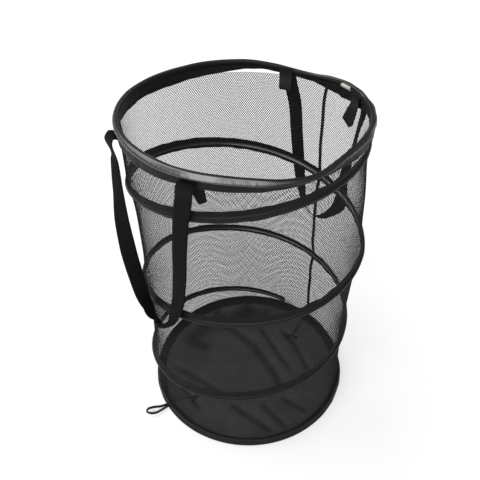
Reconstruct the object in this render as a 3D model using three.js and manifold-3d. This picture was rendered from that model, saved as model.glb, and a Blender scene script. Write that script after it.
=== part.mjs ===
// Pop-up laundry hamper: a tube of netting held open by a spring-steel spiral.
// Millimetres, +Z up. The origin is the middle of the base, on the floor.
// The carrying handles are on the X axis: the right one at +X, the left one at -X. The front is -Y.
import * as THREE from "three";
import { mergeVertices } from "three/addons/utils/BufferGeometryUtils.js";
import Module from "manifold-3d";

// Overall sizes
const height = 600;
const wallRadius = 191;
const clearance = 0.3;
const facetsRound = 40;

// Netting: diamonds of knotted strand, between two plain hems
const netThickness = 0.8;
const strandWidth = 2.6;
const diamondRows = 14;

// Sewn tape that holds the wires, and the wires
const tapeThickness = 0.8;
const wireRadius = 1.25;
const ferruleWall = 0.6;
const ferruleLength = 26;
const ferruleSlit = 1.2;
const hoopEndGap = 2;
const rimJoinAngle = -15;
const baseJoinAngle = 100;
const rimBandHeight = 20.5;
const baseBandHeight = 16;

// Spiral: one wire in one casing, going down clockwise as seen from above
const casingHeight = 18;
const spiralStartAngle = -60;
const spiralTurnAngle = 1000;
const wireOverrun = 14;
const capWall = 0.6;
const capLength = 10;

// Base panel and the side seam of the netting
const panelThickness = 1.2;
const seamWidth = 8;
const seamThickness = 1;

// Carrying handles of flat webbing
const webbingWidth = 25;
const webbingThickness = 1.6;
const handleHalfAngle = 25;
const handleDrop = 294;
const handleStandOff = 11;
const sewnDepth = 19;
const tailLength = 38;
const tailCurl = 4;
const tailSkew = 5;

// Closure: elastic loops outside the base and toggles on cords inside it
const closureAngles = { right: 4, left: 170 };
const elasticWidth = 5;
const elasticThickness = 1;
const loopLength = 44;
const loopWidth = 15;
const toggleLength = 30;
const toggleRadius = 2.6;
const toggleWaistRadius = 1.9;
const toggleWaistLength = 7;
const toggleCordRadius = 0.9;

const degrees = Math.PI / 180;

// Radii and heights that several pieces share
const cavityRadius = wireRadius + ferruleWall + 2 * clearance;
const bandHalfThickness = cavityRadius + tapeThickness;
const bandOuterRadius = wallRadius + bandHalfThickness;
const bandInnerRadius = wallRadius - bandHalfThickness;
const flangeInner = netThickness / 2 + clearance;
const flangeOuter = flangeInner + tapeThickness;
const rimHoopHeight = height - bandHalfThickness;
const baseHoopHeight = tapeThickness + cavityRadius;
const rimBandFoot = height - rimBandHeight;
const innerFlat = Math.cos(Math.PI / facetsRound);
const step = 360 / facetsRound;

function place(angle, radius, z) {
  return new THREE.Vector3(radius * Math.cos(angle * degrees), radius * Math.sin(angle * degrees), z);
}

// Round pieces are drawn with flat facets, so that they nest: a place on the facet, not on the circle
function placeOnFacet(angle, radius, z) {
  const fromMiddle = THREE.MathUtils.euclideanModulo(angle, step) - step / 2;
  return place(angle, (radius * innerFlat) / Math.cos(fromMiddle * degrees), z);
}

function range(count, make) {
  return Array.from({ length: count }, (_, i) => make(i));
}

function geometryOf(points, faces) {
  const geometry = new THREE.BufferGeometry().setFromPoints(points);
  geometry.setIndex(faces.flat());
  return geometry;
}

// A closed solid through rings of points. Every ring goes round its section the same way.
// The ends are capped with the section's own triangles, or the last ring meets the first.
function solidThrough(rings, section, closed = false) {
  const count = section.length;
  const faces = [];
  const spans = closed ? rings.length : rings.length - 1;
  for (let i = 0; i < spans; i++) {
    for (let j = 0; j < count; j++) {
      const a = i * count + j;
      const b = i * count + ((j + 1) % count);
      const next = ((i + 1) % rings.length) * count - i * count;
      faces.push([a, b, b + next], [a, b + next, a + next]);
    }
  }
  if (!closed) {
    const last = (rings.length - 1) * count;
    for (const [a, b, c] of THREE.ShapeUtils.triangulateShape(section, [])) {
      faces.push([c, b, a], [last + a, last + b, last + c]);
    }
  }
  return geometryOf(rings.flat(), faces);
}

// A section of [radius, z] points turned about Z through a list of growing angles.
// lift(angle) raises the section there.
function turned(section, angles, lift = () => 0, closed = false) {
  const facing = (points) => points.map(([r, z]) => new THREE.Vector2(z, r));
  const points = THREE.ShapeUtils.isClockWise(facing(section)) ? [...section].reverse() : section;
  const rings = angles.map((angle) => points.map(([r, z]) => placeOnFacet(angle, r, z + lift(angle))));
  return solidThrough(rings, facing(points), closed);
}

function arc(centreR, centreZ, radius, from, to, steps) {
  return range(steps + 1, (i) => {
    const angle = (from + ((to - from) * i) / steps) * degrees;
    return [centreR + radius * Math.cos(angle), centreZ + radius * Math.sin(angle)];
  });
}

const fullTurn = range(facetsRound, (i) => i * step);

// Angles from a lower one to a higher one that stop at every facet line between them
function anglesBetween(from, to) {
  const first = Math.floor(from / step) + 1;
  const last = Math.ceil(to / step) - 1;
  return [from, ...range(last - first + 1, (i) => (first + i) * step), to];
}

// Half the angle of a circle's arc that a flat of the given half width cuts off
function flangeAngle(halfWidth, radius) {
  return Math.asin(halfWidth / radius) / degrees;
}

// Rim band: tape folded over the hoop, its two flanges down both sides of the netting
function rimBand() {
  const outer = flangeAngle(flangeOuter, bandHalfThickness);
  const inner = flangeAngle(flangeInner, cavityRadius);
  const section = [
    [wallRadius - flangeOuter, rimBandFoot],
    ...arc(wallRadius, rimHoopHeight, bandHalfThickness, 270 - outer, outer - 90, 8),
    [wallRadius + flangeOuter, rimBandFoot],
    [wallRadius + flangeInner, rimBandFoot],
    ...arc(wallRadius, rimHoopHeight, cavityRadius, inner - 90, 270 - inner, 8),
    [wallRadius - flangeInner, rimBandFoot],
  ];
  return turned(section, fullTurn, undefined, true);
}

// Base band: the same fold upside down, with a flat sole and straight sides for the panel
function baseBand() {
  const inner = flangeAngle(flangeInner, cavityRadius);
  const shoulder = baseHoopHeight + cavityRadius;
  const section = [
    [wallRadius + flangeOuter, baseBandHeight],
    [wallRadius + flangeOuter, shoulder + tapeThickness],
    [bandOuterRadius, baseHoopHeight],
    [bandOuterRadius, 0],
    [bandInnerRadius, 0],
    [bandInnerRadius, baseHoopHeight],
    [wallRadius - flangeOuter, shoulder + tapeThickness],
    [wallRadius - flangeOuter, baseBandHeight],
    [wallRadius - flangeInner, baseBandHeight],
    ...arc(wallRadius, baseHoopHeight, cavityRadius, 90 + inner, 450 - inner, 8),
    [wallRadius + flangeInner, baseBandHeight],
  ];
  return turned(section, fullTurn, undefined, true);
}

// A hoop is one length of wire whose ends nearly meet inside its ferrule
function hoop(z, joinAngle) {
  const half = hoopEndGap / 2 / wallRadius / degrees;
  const section = arc(wallRadius, z, wireRadius, 0, 360, 6).slice(1);
  return turned(section, anglesBetween(joinAngle + half, joinAngle + 360 - half));
}

// A sleeve rolled from strip, with the slit that the rolling leaves
function ferrule(z, joinAngle) {
  const half = ferruleLength / 2 / wallRadius / degrees;
  const bore = wireRadius + clearance;
  const outside = bore + ferruleWall;
  const slit = flangeAngle(ferruleSlit / 2, outside);
  const section = [
    ...arc(wallRadius, z, outside, 90 - slit, slit - 270, 10),
    ...arc(wallRadius, z, bore, slit - 270, 90 - slit, 10),
  ];
  return turned(section, anglesBetween(joinAngle - half, joinAngle + half));
}

// How far down the wall the spiral's middle line has come, every twelfth of its turn.
// The spring's own weight makes it steeper in some turns than in others.
const spiralFallShares = [0, 0.068, 0.151, 0.25, 0.347, 0.417, 0.481, 0.589, 0.679, 0.741, 0.811, 0.905, 1];
const spiralTop = rimBandFoot - clearance - casingHeight / 2;
const spiralBottom = baseBandHeight + clearance + casingHeight / 2;
const spiralFall = new THREE.SplineCurve(spiralFallShares.map((share) => new THREE.Vector2(share, 0)));
function spiralHeight(angle) {
  const turn = THREE.MathUtils.clamp((spiralStartAngle - angle) / spiralTurnAngle, 0, 1);
  return spiralTop + (spiralBottom - spiralTop) * spiralFall.getPoint(turn).x;
}

const spiralEndAngle = spiralStartAngle - spiralTurnAngle;
const capOuterRadius = wireRadius + clearance + capWall;
const casingFace = wallRadius - netThickness / 2 - clearance;
const spiralWireRadius = casingFace - capOuterRadius;

// Spiral casing: tape sewn flat to the inside of the netting along both edges of the wire's channel
function spiralCasing() {
  const channel = wireRadius + clearance;
  const ridge = channel + tapeThickness;
  const half = casingHeight / 2;
  const section = [
    [casingFace, half],
    [casingFace, channel],
    ...arc(spiralWireRadius, 0, channel, 90, 270, 4),
    [casingFace, -channel],
    [casingFace, -half],
    [casingFace - tapeThickness, -half],
    [casingFace - tapeThickness, -ridge],
    ...arc(spiralWireRadius, 0, ridge, 270, 90, 3),
    [casingFace - tapeThickness, ridge],
    [casingFace - tapeThickness, half],
  ];
  return turned(section, anglesBetween(spiralEndAngle, spiralStartAngle), spiralHeight);
}

function angleAlong(length) {
  return length / spiralWireRadius / degrees;
}

function spiralWire() {
  const section = arc(spiralWireRadius, 0, wireRadius, 0, 360, 5).slice(1);
  const extra = angleAlong(wireOverrun);
  const stops = [spiralEndAngle - extra, spiralEndAngle, spiralStartAngle, spiralStartAngle + extra];
  const spans = stops.slice(1).map((to, i) => anglesBetween(stops[i], to).slice(1));
  return turned(section, [stops[0], ...spans.flat()], spiralHeight);
}

// The wire's least gap to itself, between points of its middle line half a turn apart or more
function leastSpiralGap() {
  const perTurn = 90;
  const points = range(Math.ceil((spiralTurnAngle / 360) * perTurn), (i) => {
    const angle = spiralStartAngle - (360 * i) / perTurn;
    return place(angle, spiralWireRadius, spiralHeight(angle));
  });
  const distances = points.flatMap((point, i) => {
    return points.slice(i + perTurn / 2).map((other) => point.distanceTo(other));
  });
  return Math.min(...distances) - 2 * wireRadius;
}

// A soft cap pushed over a wire end: a blind tube made by turning a cup's section
function spiralCap(top) {
  const endAngle = top ? spiralStartAngle : spiralEndAngle;
  const away = top ? 1 : -1;
  const bore = wireRadius + clearance;
  const profile = [
    new THREE.Vector2(0, capWall + clearance),
    new THREE.Vector2(bore, capWall + clearance),
    new THREE.Vector2(bore, -capLength),
    new THREE.Vector2(capOuterRadius - clearance, -capLength),
    new THREE.Vector2(capOuterRadius - clearance, 0),
    new THREE.Vector2(bore, capWall * 2 + clearance),
    new THREE.Vector2(0, capWall * 2 + clearance),
  ];
  const cap = new THREE.LatheGeometry(profile, 10);
  const tipAngle = endAngle + away * angleAlong(wireOverrun);
  const tip = placeOnFacet(tipAngle, spiralWireRadius, spiralHeight(tipAngle));
  const backAngle = tipAngle - away * angleAlong(capLength);
  const back = placeOnFacet(backAngle, spiralWireRadius, spiralHeight(backAngle));
  const along = tip.clone().sub(back).normalize();
  cap.applyQuaternion(new THREE.Quaternion().setFromUnitVectors(new THREE.Vector3(0, 1, 0), along));
  return cap.translate(tip.x, tip.y, tip.z);
}

// Netting wall. Strands cross on the facet lines, so that each strand is flat in its facet.
function nettingWall() {
  const foot = baseHoopHeight + cavityRadius;
  const top = rimHoopHeight - cavityRadius;
  const hemFoot = baseBandHeight - clearance;
  const hemTop = rimBandFoot + clearance;
  const rise = (hemTop - hemFoot) / diamondRows;
  const facetWidth = 2 * wallRadius * Math.sin(Math.PI / facetsRound);
  const slope = Math.atan2(rise, facetWidth);
  const acrossShare = strandWidth / 2 / Math.sin(slope) / facetWidth;
  const upward = strandWidth / 2 / Math.cos(slope);
  const points = [];
  const faces = [];
  const known = new Map();

  // A point at a column share and a height, on the outer or the inner skin
  function vertex(column, z, outer) {
    const key = [((column % facetsRound) + facetsRound) % facetsRound, z, outer].join();
    if (!known.has(key)) {
      const radius = wallRadius + (outer ? netThickness : -netThickness) / 2;
      const low = Math.floor(column);
      const share = column - low;
      const point = place(low * step, radius, z).multiplyScalar(1 - share);
      point.add(place((low + 1) * step, radius, z).multiplyScalar(share));
      known.set(key, points.push(point) - 1);
    }
    return known.get(key);
  }

  // The same flat patch on both skins. Corners go round counter-clockwise seen from outside.
  function patch(corners) {
    const outer = corners.map(([column, z]) => vertex(column, z, true));
    const inner = corners.map(([column, z]) => vertex(column, z, false));
    for (let i = 1; i + 1 < corners.length; i++) {
      faces.push([outer[0], outer[i], outer[i + 1]], [inner[0], inner[i + 1], inner[i]]);
    }
  }

  // The wall of an opening or of a free edge, from one point to the next
  function edge(from, to) {
    const [a, b] = [vertex(...from, true), vertex(...to, true)];
    const [c, d] = [vertex(...from, false), vertex(...to, false)];
    faces.push([a, d, c], [a, b, d]);
  }

  const level = (row) => hemFoot + row * rise;
  for (let row = 0; row <= diamondRows; row++) {
    for (let column = 0; column < facetsRound; column++) {
      const z = level(row);
      if ((row + column) % 2 === 0) {
        const left = [column - acrossShare, z];
        const right = [column + acrossShare, z];
        const above = [column, z + upward];
        const below = [column, z - upward];
        const low = row > 0 ? below : [column, z];
        const high = row < diamondRows ? above : [column, z];
        patch([low, right, high]);
        patch([left, low, high]);
        if (row < diamondRows) {
          // The two strands that climb from this crossing
          const nextZ = level(row + 1);
          patch([right, [column + 1, nextZ - upward], [column + 1 - acrossShare, nextZ], above]);
          patch([left, above, [column - 1 + acrossShare, nextZ], [column - 1, nextZ - upward]]);
        }
      } else {
        // The diamond opening round this place, or half of one beside a hem
        const west = [column - 1 + acrossShare, z];
        const east = [column + 1 - acrossShare, z];
        const north = [column, level(row + 1) - upward];
        const south = [column, level(row - 1) + upward];
        const middle = [column, z];
        if (row > 0) {
          edge(south, east);
          edge(west, south);
        } else {
          edge(west, middle);
          edge(middle, east);
        }
        if (row < diamondRows) {
          edge(east, north);
          edge(north, west);
        } else {
          edge(east, middle);
          edge(middle, west);
        }
      }
    }
  }

  // Hems: plain strips inside the base band and the rim band
  for (let column = 0; column < facetsRound; column++) {
    const crossing = (row) => (row + column) % 2 === 0;
    const along = (row, z) => {
      return crossing(row) ? [column + acrossShare, z] : [column + 1 - acrossShare, z];
    };
    patch([[column, foot], [column + 1, foot], [column + 1, hemFoot], along(0, hemFoot), [column, hemFoot]]);
    patch([[column, hemTop], along(diamondRows, hemTop), [column + 1, hemTop], [column + 1, top], [column, top]]);
    edge([column + 1, foot], [column, foot]);
    edge([column, top], [column + 1, top]);
  }
  return geometryOf(points, faces);
}

// A tape that closes the netting's one upright seam, on the outside at the right
function sideSeam() {
  const face = wallRadius + netThickness / 2 + clearance;
  const low = baseBandHeight + clearance;
  const high = rimBandFoot - clearance;
  const half = seamWidth / 2 / face / degrees;
  const section = [
    [face, low],
    [face, high],
    [face + seamThickness, high],
    [face + seamThickness, low],
  ];
  return turned(section, anglesBetween(-half, half));
}

// Base panel: a disc of woven cloth with its edge against the base band
function basePanel() {
  const radius = bandInnerRadius - clearance;
  const profile = [
    new THREE.Vector2(0, 0),
    new THREE.Vector2(radius, 0),
    new THREE.Vector2(radius, panelThickness),
    new THREE.Vector2(0, panelThickness),
  ];
  return new THREE.LatheGeometry(profile, facetsRound).rotateX(Math.PI / 2);
}

// Flat webbing through stations, each a centre and the direction of its width
function ribbon(stations, width, thickness) {
  const centres = stations.map((station) => station.centre);
  const section = [
    [-1, -1],
    [1, -1],
    [1, 1],
    [-1, 1],
  ].map(([w, t]) => new THREE.Vector2((w * width) / 2, (t * thickness) / 2));
  const rings = stations.map((station, i) => {
    const before = centres[Math.max(i - 1, 0)];
    const after = centres[Math.min(i + 1, centres.length - 1)];
    const along = after.clone().sub(before).normalize();
    const across = station.across.clone().addScaledVector(along, -station.across.dot(along)).normalize();
    const through = along.clone().cross(across);
    return section.map((corner) => {
      return station.centre.clone().addScaledVector(across, corner.x).addScaledVector(through, corner.y);
    });
  });
  return solidThrough(rings, section);
}

// Arms of a handle from the sewn end, over the fold and down towards the bottom, as shares of
// the half angle, of the drop, of the stand-off and of a quarter twist out from the wall.
// A straight arm hangs flat on the wall, and a loose one swings clear of it.
const straightArmShares = [
  [1, 0, 0, 0],
  [1, -0.01, 0.12, 0],
  [1, -0.016, 0.45, 0],
  [1, -0.004, 0.8, 0],
  [0.96, 0.06, 0.72, 0],
  [0.86, 0.17, 0.38, 0],
  [0.76, 0.36, 0.27, 0.02],
  [0.67, 0.6, 0.25, 0.06],
  [0.56, 0.79, 0.25, 0.2],
  [0.4, 0.91, 0.22, 0.55],
  [0.2, 0.98, 0.2, 0.9],
];
const looseArmShares = [
  [1, 0, 0, 0],
  [1, -0.01, 0.12, 0.02],
  [1, -0.016, 0.45, 0.06],
  [0.99, -0.002, 0.8, 0.1],
  [0.94, 0.11, 0.65, 0.16],
  [0.86, 0.28, 1.1, 0.2],
  [0.78, 0.43, 1.2, 0.28],
  [0.7, 0.58, 0.95, 0.38],
  [0.58, 0.74, 0.7, 0.6],
  [0.34, 0.92, 0.5, 0.85],
  [0.16, 0.98, 0.35, 0.96],
];
const bottomShares = [0, 1, 0.3, 1];

// The two handles: the arm at the lower angle, the arm at the higher angle, and how far the
// webbing's outer edge is tipped up at the bottom
const handles = {
  right: { middle: 0, low: straightArmShares, high: straightArmShares, bottomTilt: -45 },
  left: { middle: 180, low: looseArmShares, high: straightArmShares, bottomTilt: 60 },
};
const strapSteps = 66;

// Distance round the wall from the handle's middle, depth below the rim's top and stand-off as
// one curve from sewn end to sewn end, and the twist as another
function strapCurves(handle) {
  const mirrored = [...handle.high].reverse().map(([angle, ...rest]) => [-angle, ...rest]);
  const rows = [...handle.low, bottomShares, ...mirrored];
  const places = rows.map(([angle, drop, stand]) => {
    const round = -angle * handleHalfAngle * degrees * wallRadius;
    return new THREE.Vector3(round, sewnDepth + drop * handleDrop, stand * handleStandOff);
  });
  const twists = rows.map(([, , , twist]) => new THREE.Vector2(twist, 0));
  return { path: new THREE.CatmullRomCurve3(places), twist: new THREE.SplineCurve(twists) };
}

// The webbing lies flat along the wall at its sewn ends and stands out from it at the bottom
function strapStation(curves, share, handle) {
  const at = curves.path.getPoint(share);
  const angle = handle.middle + at.x / wallRadius / degrees;
  const twist = curves.twist.getPoint(share).x * 90 * degrees;
  const tilt = handle.bottomTilt * degrees;
  const outward = place(angle, 1, 0);
  const sideways = place(angle + 90, 1, 0);
  const slope = curves.path.getTangent(share);
  const along = sideways.clone().multiplyScalar(slope.x).addScaledVector(outward, slope.z).setZ(-slope.y);
  const lean = outward.clone().multiplyScalar(Math.cos(tilt)).setZ(Math.sin(tilt));
  const across = sideways.multiplyScalar(Math.sign(at.x) * Math.cos(twist)).addScaledVector(lean, Math.sin(twist));
  across.addScaledVector(along, -across.dot(along)).normalize();
  const reach = (webbingWidth / 2) * Math.max(across.dot(outward), 0);
  const radius = wallRadius + flangeOuter + clearance + webbingThickness / 2 + at.z + reach;
  return { centre: place(angle, radius, height - at.y), across };
}

function handleStrap(handle) {
  const curves = strapCurves(handle);
  const stations = range(strapSteps + 1, (i) => strapStation(curves, i / strapSteps, handle));
  return ribbon(stations, webbingWidth, webbingThickness);
}

// The cut end of a handle, hanging inside the rim band
function handleTail(angle) {
  const face = bandInnerRadius * innerFlat - clearance - webbingThickness / 2;
  const across = place(angle + 90, 1, 0);
  const top = rimHoopHeight;
  const stations = range(5, (i) => {
    const share = i / 4;
    const curl = tailCurl * share * share;
    const centre = place(angle, face - curl, top - tailLength * share);
    return { centre: centre.addScaledVector(across, tailSkew * share * share), across };
  });
  return ribbon(stations, webbingWidth, webbingThickness);
}

// Plan of an elastic loop, as shares of its length and its half width, from root to tip
const loopShares = [
  [0, 0.3],
  [0.3, 0.55],
  [0.62, 1],
  [0.88, 0.8],
  [1, 0],
];

function closureLoop(angle) {
  const root = placeOnFacet(angle, bandOuterRadius, 0).length() + 2 * clearance;
  const out = place(angle, 1, 0);
  const side = place(angle + 90, 1, 0);
  const up = new THREE.Vector3(0, 0, 1);
  const back = loopShares.slice(0, -1).reverse().map(([along, across]) => [along, -across]);
  const plan = [...loopShares, ...back].map(([along, across]) => {
    const point = out.clone().multiplyScalar(root + along * (loopLength - elasticThickness));
    point.addScaledVector(side, (across * (loopWidth - elasticThickness)) / 2);
    return point.setZ(clearance + elasticWidth / 2);
  });
  const curve = new THREE.CatmullRomCurve3(plan);
  const stations = curve.getSpacedPoints(26).map((centre) => ({ centre, across: up }));
  return ribbon(stations, elasticWidth, elasticThickness);
}

const wasm = await Module();
wasm.setup();

function toSolid(geometry) {
  const bare = geometry.clone();
  bare.deleteAttribute("normal");
  bare.deleteAttribute("uv");
  const merged = mergeVertices(bare);
  return new wasm.Manifold(
    new wasm.Mesh({
      numProp: 3,
      vertProperties: new Float32Array(merged.attributes.position.array),
      triVerts: new Uint32Array(merged.index.array),
    }),
  );
}

function toGeometry(solid) {
  const mesh = solid.getMesh();
  const geometry = new THREE.BufferGeometry();
  geometry.setAttribute("position", new THREE.BufferAttribute(mesh.vertProperties, 3));
  geometry.setIndex(new THREE.BufferAttribute(mesh.triVerts, 1));
  return geometry;
}

// Cord routes on the base panel, from the base band to the toggle, chosen by hand
const cordRoutes = {
  right: [
    [186.6, 9.5, 10],
    [184, 9.3, 9.6],
    [178.5, 8, 6],
    [170, 5, 3.1],
    [156, 0, 2.6],
    [141, -4.5, 2.8],
    [130, -7.6, 3.4],
    [122, -9.8, 4.1],
  ],
  left: [
    [-182.2, 41.5, 10],
    [-179.6, 40.8, 9.6],
    [-174.5, 37.5, 6],
    [-167, 32, 3.1],
    [-157, 25.5, 2.6],
    [-148, 19, 2.8],
    [-142, 14.8, 3.4],
    [-137, 11.4, 4.1],
  ],
};
const toggleTurns = { right: 117, left: 14 };
const toggleHeight = panelThickness + clearance + toggleRadius;

function toggleCord(side) {
  const curve = new THREE.CatmullRomCurve3(cordRoutes[side].map((point) => new THREE.Vector3(...point)));
  const outline = new THREE.Shape(range(8, (i) => {
    const angle = i * 45 * degrees;
    return new THREE.Vector2(toggleCordRadius * Math.cos(angle), toggleCordRadius * Math.sin(angle));
  }));
  return new THREE.ExtrudeGeometry(outline, { steps: 18, extrudePath: curve, curveSegments: 1 });
}

// Where a toggle's middle is, one waist radius past its cord's end
function toggleMiddle(side) {
  const route = cordRoutes[side].map((point) => new THREE.Vector3(...point));
  const end = route[route.length - 1];
  const along = end.clone().sub(route[route.length - 2]).setZ(0).normalize();
  return { end, along, middle: end.clone().addScaledVector(along, clearance).setZ(toggleHeight) };
}

// Toggle: a short round bar with a waist, and a blind hole at the waist for the cord
function toggleBar(side) {
  const { end, along, middle } = toggleMiddle(side);
  const half = toggleLength / 2;
  const waist = toggleWaistLength / 2;
  const round = toggleRadius / 2;
  const profile = [
    new THREE.Vector2(0, -half),
    new THREE.Vector2(round, -half + round / 4),
    new THREE.Vector2(toggleRadius, round - half),
    new THREE.Vector2(toggleRadius, -waist - round),
    new THREE.Vector2(toggleWaistRadius, -waist),
    new THREE.Vector2(toggleWaistRadius, waist),
    new THREE.Vector2(toggleRadius, waist + round),
    new THREE.Vector2(toggleRadius, half - round),
    new THREE.Vector2(round, half - round / 4),
    new THREE.Vector2(0, half),
  ];
  const bar = new THREE.LatheGeometry(profile, 12).rotateZ(toggleTurns[side] * degrees - Math.PI / 2);
  bar.translate(middle.x, middle.y, middle.z);
  const bore = new THREE.CylinderGeometry(
    toggleCordRadius + clearance,
    toggleCordRadius + clearance,
    toggleLength,
    10,
  );
  const turn = new THREE.Quaternion().setFromUnitVectors(new THREE.Vector3(0, 1, 0), along);
  const back = end.clone().addScaledVector(along, clearance - toggleLength / 2);
  bore.applyQuaternion(turn).translate(back.x, back.y, end.z);
  return toGeometry(toSolid(bar).subtract(toSolid(bore)));
}

const finishes = {
  tape: { color: 0x17171a, roughness: 0.55, metalness: 0 },
  netting: { color: 0x101012, roughness: 0.6, metalness: 0 },
  webbing: { color: 0x121214, roughness: 0.7, metalness: 0 },
  panel: { color: 0x26272a, roughness: 0.8, metalness: 0 },
  wire: { color: 0x8b8d90, roughness: 0.35, metalness: 1 },
  sleeve: { color: 0xc9c7c0, roughness: 0.5, metalness: 0 },
  elastic: { color: 0x141416, roughness: 0.85, metalness: 0 },
  plastic: { color: 0x1c1d20, roughness: 0.3, metalness: 0 },
};

const hamper = new THREE.Group();

function add(name, geometry, finish) {
  const mesh = new THREE.Mesh(geometry, new THREE.MeshStandardMaterial(finishes[finish]));
  mesh.name = name;
  hamper.add(mesh);
}

add("base_band", baseBand(), "tape");
add("base_panel", basePanel(), "panel");
add("base_hoop", hoop(baseHoopHeight, baseJoinAngle), "wire");
add("base_hoop_ferrule", ferrule(baseHoopHeight, baseJoinAngle), "wire");
add("rim_band", rimBand(), "tape");
add("rim_hoop", hoop(rimHoopHeight, rimJoinAngle), "wire");
add("rim_hoop_ferrule", ferrule(rimHoopHeight, rimJoinAngle), "sleeve");
add("netting_wall", nettingWall(), "netting");
add("side_seam_tape", sideSeam(), "tape");
add("spiral_wire", spiralWire(), "wire");
add("spiral_casing", spiralCasing(), "tape");
add("spiral_top_cap", spiralCap(true), "sleeve");
add("spiral_bottom_cap", spiralCap(false), "sleeve");

for (const [side, front] of [["right", -1], ["left", 1]]) {
  const middle = handles[side].middle;
  add(`${side}_handle_strap`, handleStrap(handles[side]), "webbing");
  add(`${side}_handle_front_tail`, handleTail(middle + front * handleHalfAngle), "webbing");
  add(`${side}_handle_back_tail`, handleTail(middle - front * handleHalfAngle), "webbing");
  add(`${side}_closure_loop`, closureLoop(closureAngles[side]), "elastic");
  add(`${side}_toggle_cord`, toggleCord(side), "elastic");
  add(`${side}_toggle_bar`, toggleBar(side), "plastic");
}

console.log(`Least gap of the spiral wire to itself: ${leastSpiralGap().toFixed(1)} mm`);

export default hamper;
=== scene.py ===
# %% [markdown]
# # A pop-up laundry hamper of black netting
#
# The object is a tube of knitted net that stands up by itself. A steel wire, wound as a long
# spring, is sewn into a tape inside the wall, and two wire hoops hold the mouth and the foot open.
# Everything here is worked out as a surface of two parameters with numpy, in metres, in the same
# frame as the solids: +Z is up, the handles are on the X axis and the front is at -Y.

import bpy
import numpy as np
from mathutils import Matrix, Vector


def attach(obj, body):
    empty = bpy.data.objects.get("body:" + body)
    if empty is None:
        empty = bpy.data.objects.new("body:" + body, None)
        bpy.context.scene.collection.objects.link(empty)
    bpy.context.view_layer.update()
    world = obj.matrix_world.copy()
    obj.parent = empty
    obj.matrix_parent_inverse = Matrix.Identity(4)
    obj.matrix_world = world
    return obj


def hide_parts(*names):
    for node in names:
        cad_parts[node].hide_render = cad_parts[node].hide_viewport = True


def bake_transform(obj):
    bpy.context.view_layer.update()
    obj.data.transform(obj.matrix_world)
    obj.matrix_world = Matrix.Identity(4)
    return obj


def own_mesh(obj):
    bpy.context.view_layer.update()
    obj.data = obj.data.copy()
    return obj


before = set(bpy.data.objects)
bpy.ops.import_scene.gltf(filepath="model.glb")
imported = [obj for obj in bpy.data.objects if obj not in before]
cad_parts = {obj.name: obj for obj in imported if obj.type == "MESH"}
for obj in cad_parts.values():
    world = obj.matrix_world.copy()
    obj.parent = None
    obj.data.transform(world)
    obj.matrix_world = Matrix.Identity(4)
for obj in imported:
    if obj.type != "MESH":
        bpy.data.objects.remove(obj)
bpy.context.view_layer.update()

# %% [markdown]
# ## The camera
#
# The photograph looks down into the mouth from the front left. Its focal length and place were
# found by fitting the ellipses of the rim, the spiral and the base. The camera is tipped by a
# degree or so, so its axes are built by hand and not by a Track To constraint.

# %% Camera
CAMERA_PLACE = np.array([-0.5233, -0.5731, 0.972])
CAMERA_HEADING = np.array([0.66262, 0.74896, 0.0])
CAMERA_PITCH = np.radians(38.91)
CAMERA_ROLL = np.radians(-1.35)
LENS_MM = 42.0


def camera_axes(heading, pitch, roll):
    """Right, up and forward: forward is the heading tipped down by pitch, and the other two turn by roll."""
    forward = np.cos(pitch) * heading - np.sin(pitch) * np.array([0, 0, 1])
    right = np.array([heading[1], -heading[0], 0])
    up = np.cross(right, forward)
    return (
        np.cos(roll) * right + np.sin(roll) * up,
        np.cos(roll) * up - np.sin(roll) * right,
        forward,
    )


def make_camera():
    """A perspective camera whose matrix is written from its three axes."""
    data = bpy.data.cameras.new("photo_view")
    data.lens = LENS_MM
    data.sensor_width = 36.0
    data.clip_start = 0.01
    data.clip_end = 50.0
    camera = bpy.data.objects.new("photo_view", data)
    right, up, forward = camera_axes(CAMERA_HEADING, CAMERA_PITCH, CAMERA_ROLL)
    turned = np.column_stack([right, up, -forward])
    camera.matrix_world = Matrix.Translation(Vector(CAMERA_PLACE)) @ Matrix(turned.tolist()).to_4x4()
    bpy.context.scene.collection.objects.link(camera)
    bpy.context.scene.camera = camera
    return camera


camera = make_camera()
print("camera at", CAMERA_PLACE, "lens", LENS_MM, "mm")

# %% [markdown]
# ## Meshes from arrays
#
# A mesh is two lists: points, and the corners of each face. Both are made here as whole arrays.
# `grid` gives the quads of a sheet of points that may close on itself in either direction, and
# `add_piece` hands them to Blender. Closed shells are turned so that their volume is positive,
# which is the same as their faces pointing out.

# %% Grids and pieces
def grid(rows, columns, close_rows=False, close_columns=False):
    """Quads between neighbours, and the row and column of each corner, which run on where the grid closes."""
    i, j = np.meshgrid(
        np.arange(rows - (not close_rows)), np.arange(columns - (not close_columns)), indexing="ij"
    )
    row = np.stack([i, i + 1, i + 1, i], -1).reshape(-1, 4)
    column = np.stack([j, j, j + 1, j + 1], -1).reshape(-1, 4)
    return (row % rows) * columns + column % columns, row, column


def signed_volume(points, groups):
    """The sum over triangles of a . (b x c) / 6, which is positive when a closed shell faces out."""
    total = 0.0
    for faces in groups:
        for k in range(1, faces.shape[1] - 1):
            a, b, c = points[faces[:, 0]], points[faces[:, k]], points[faces[:, k + 1]]
            total += np.einsum("ij,ij->", a, np.cross(b, c)) / 6
    return total


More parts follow.
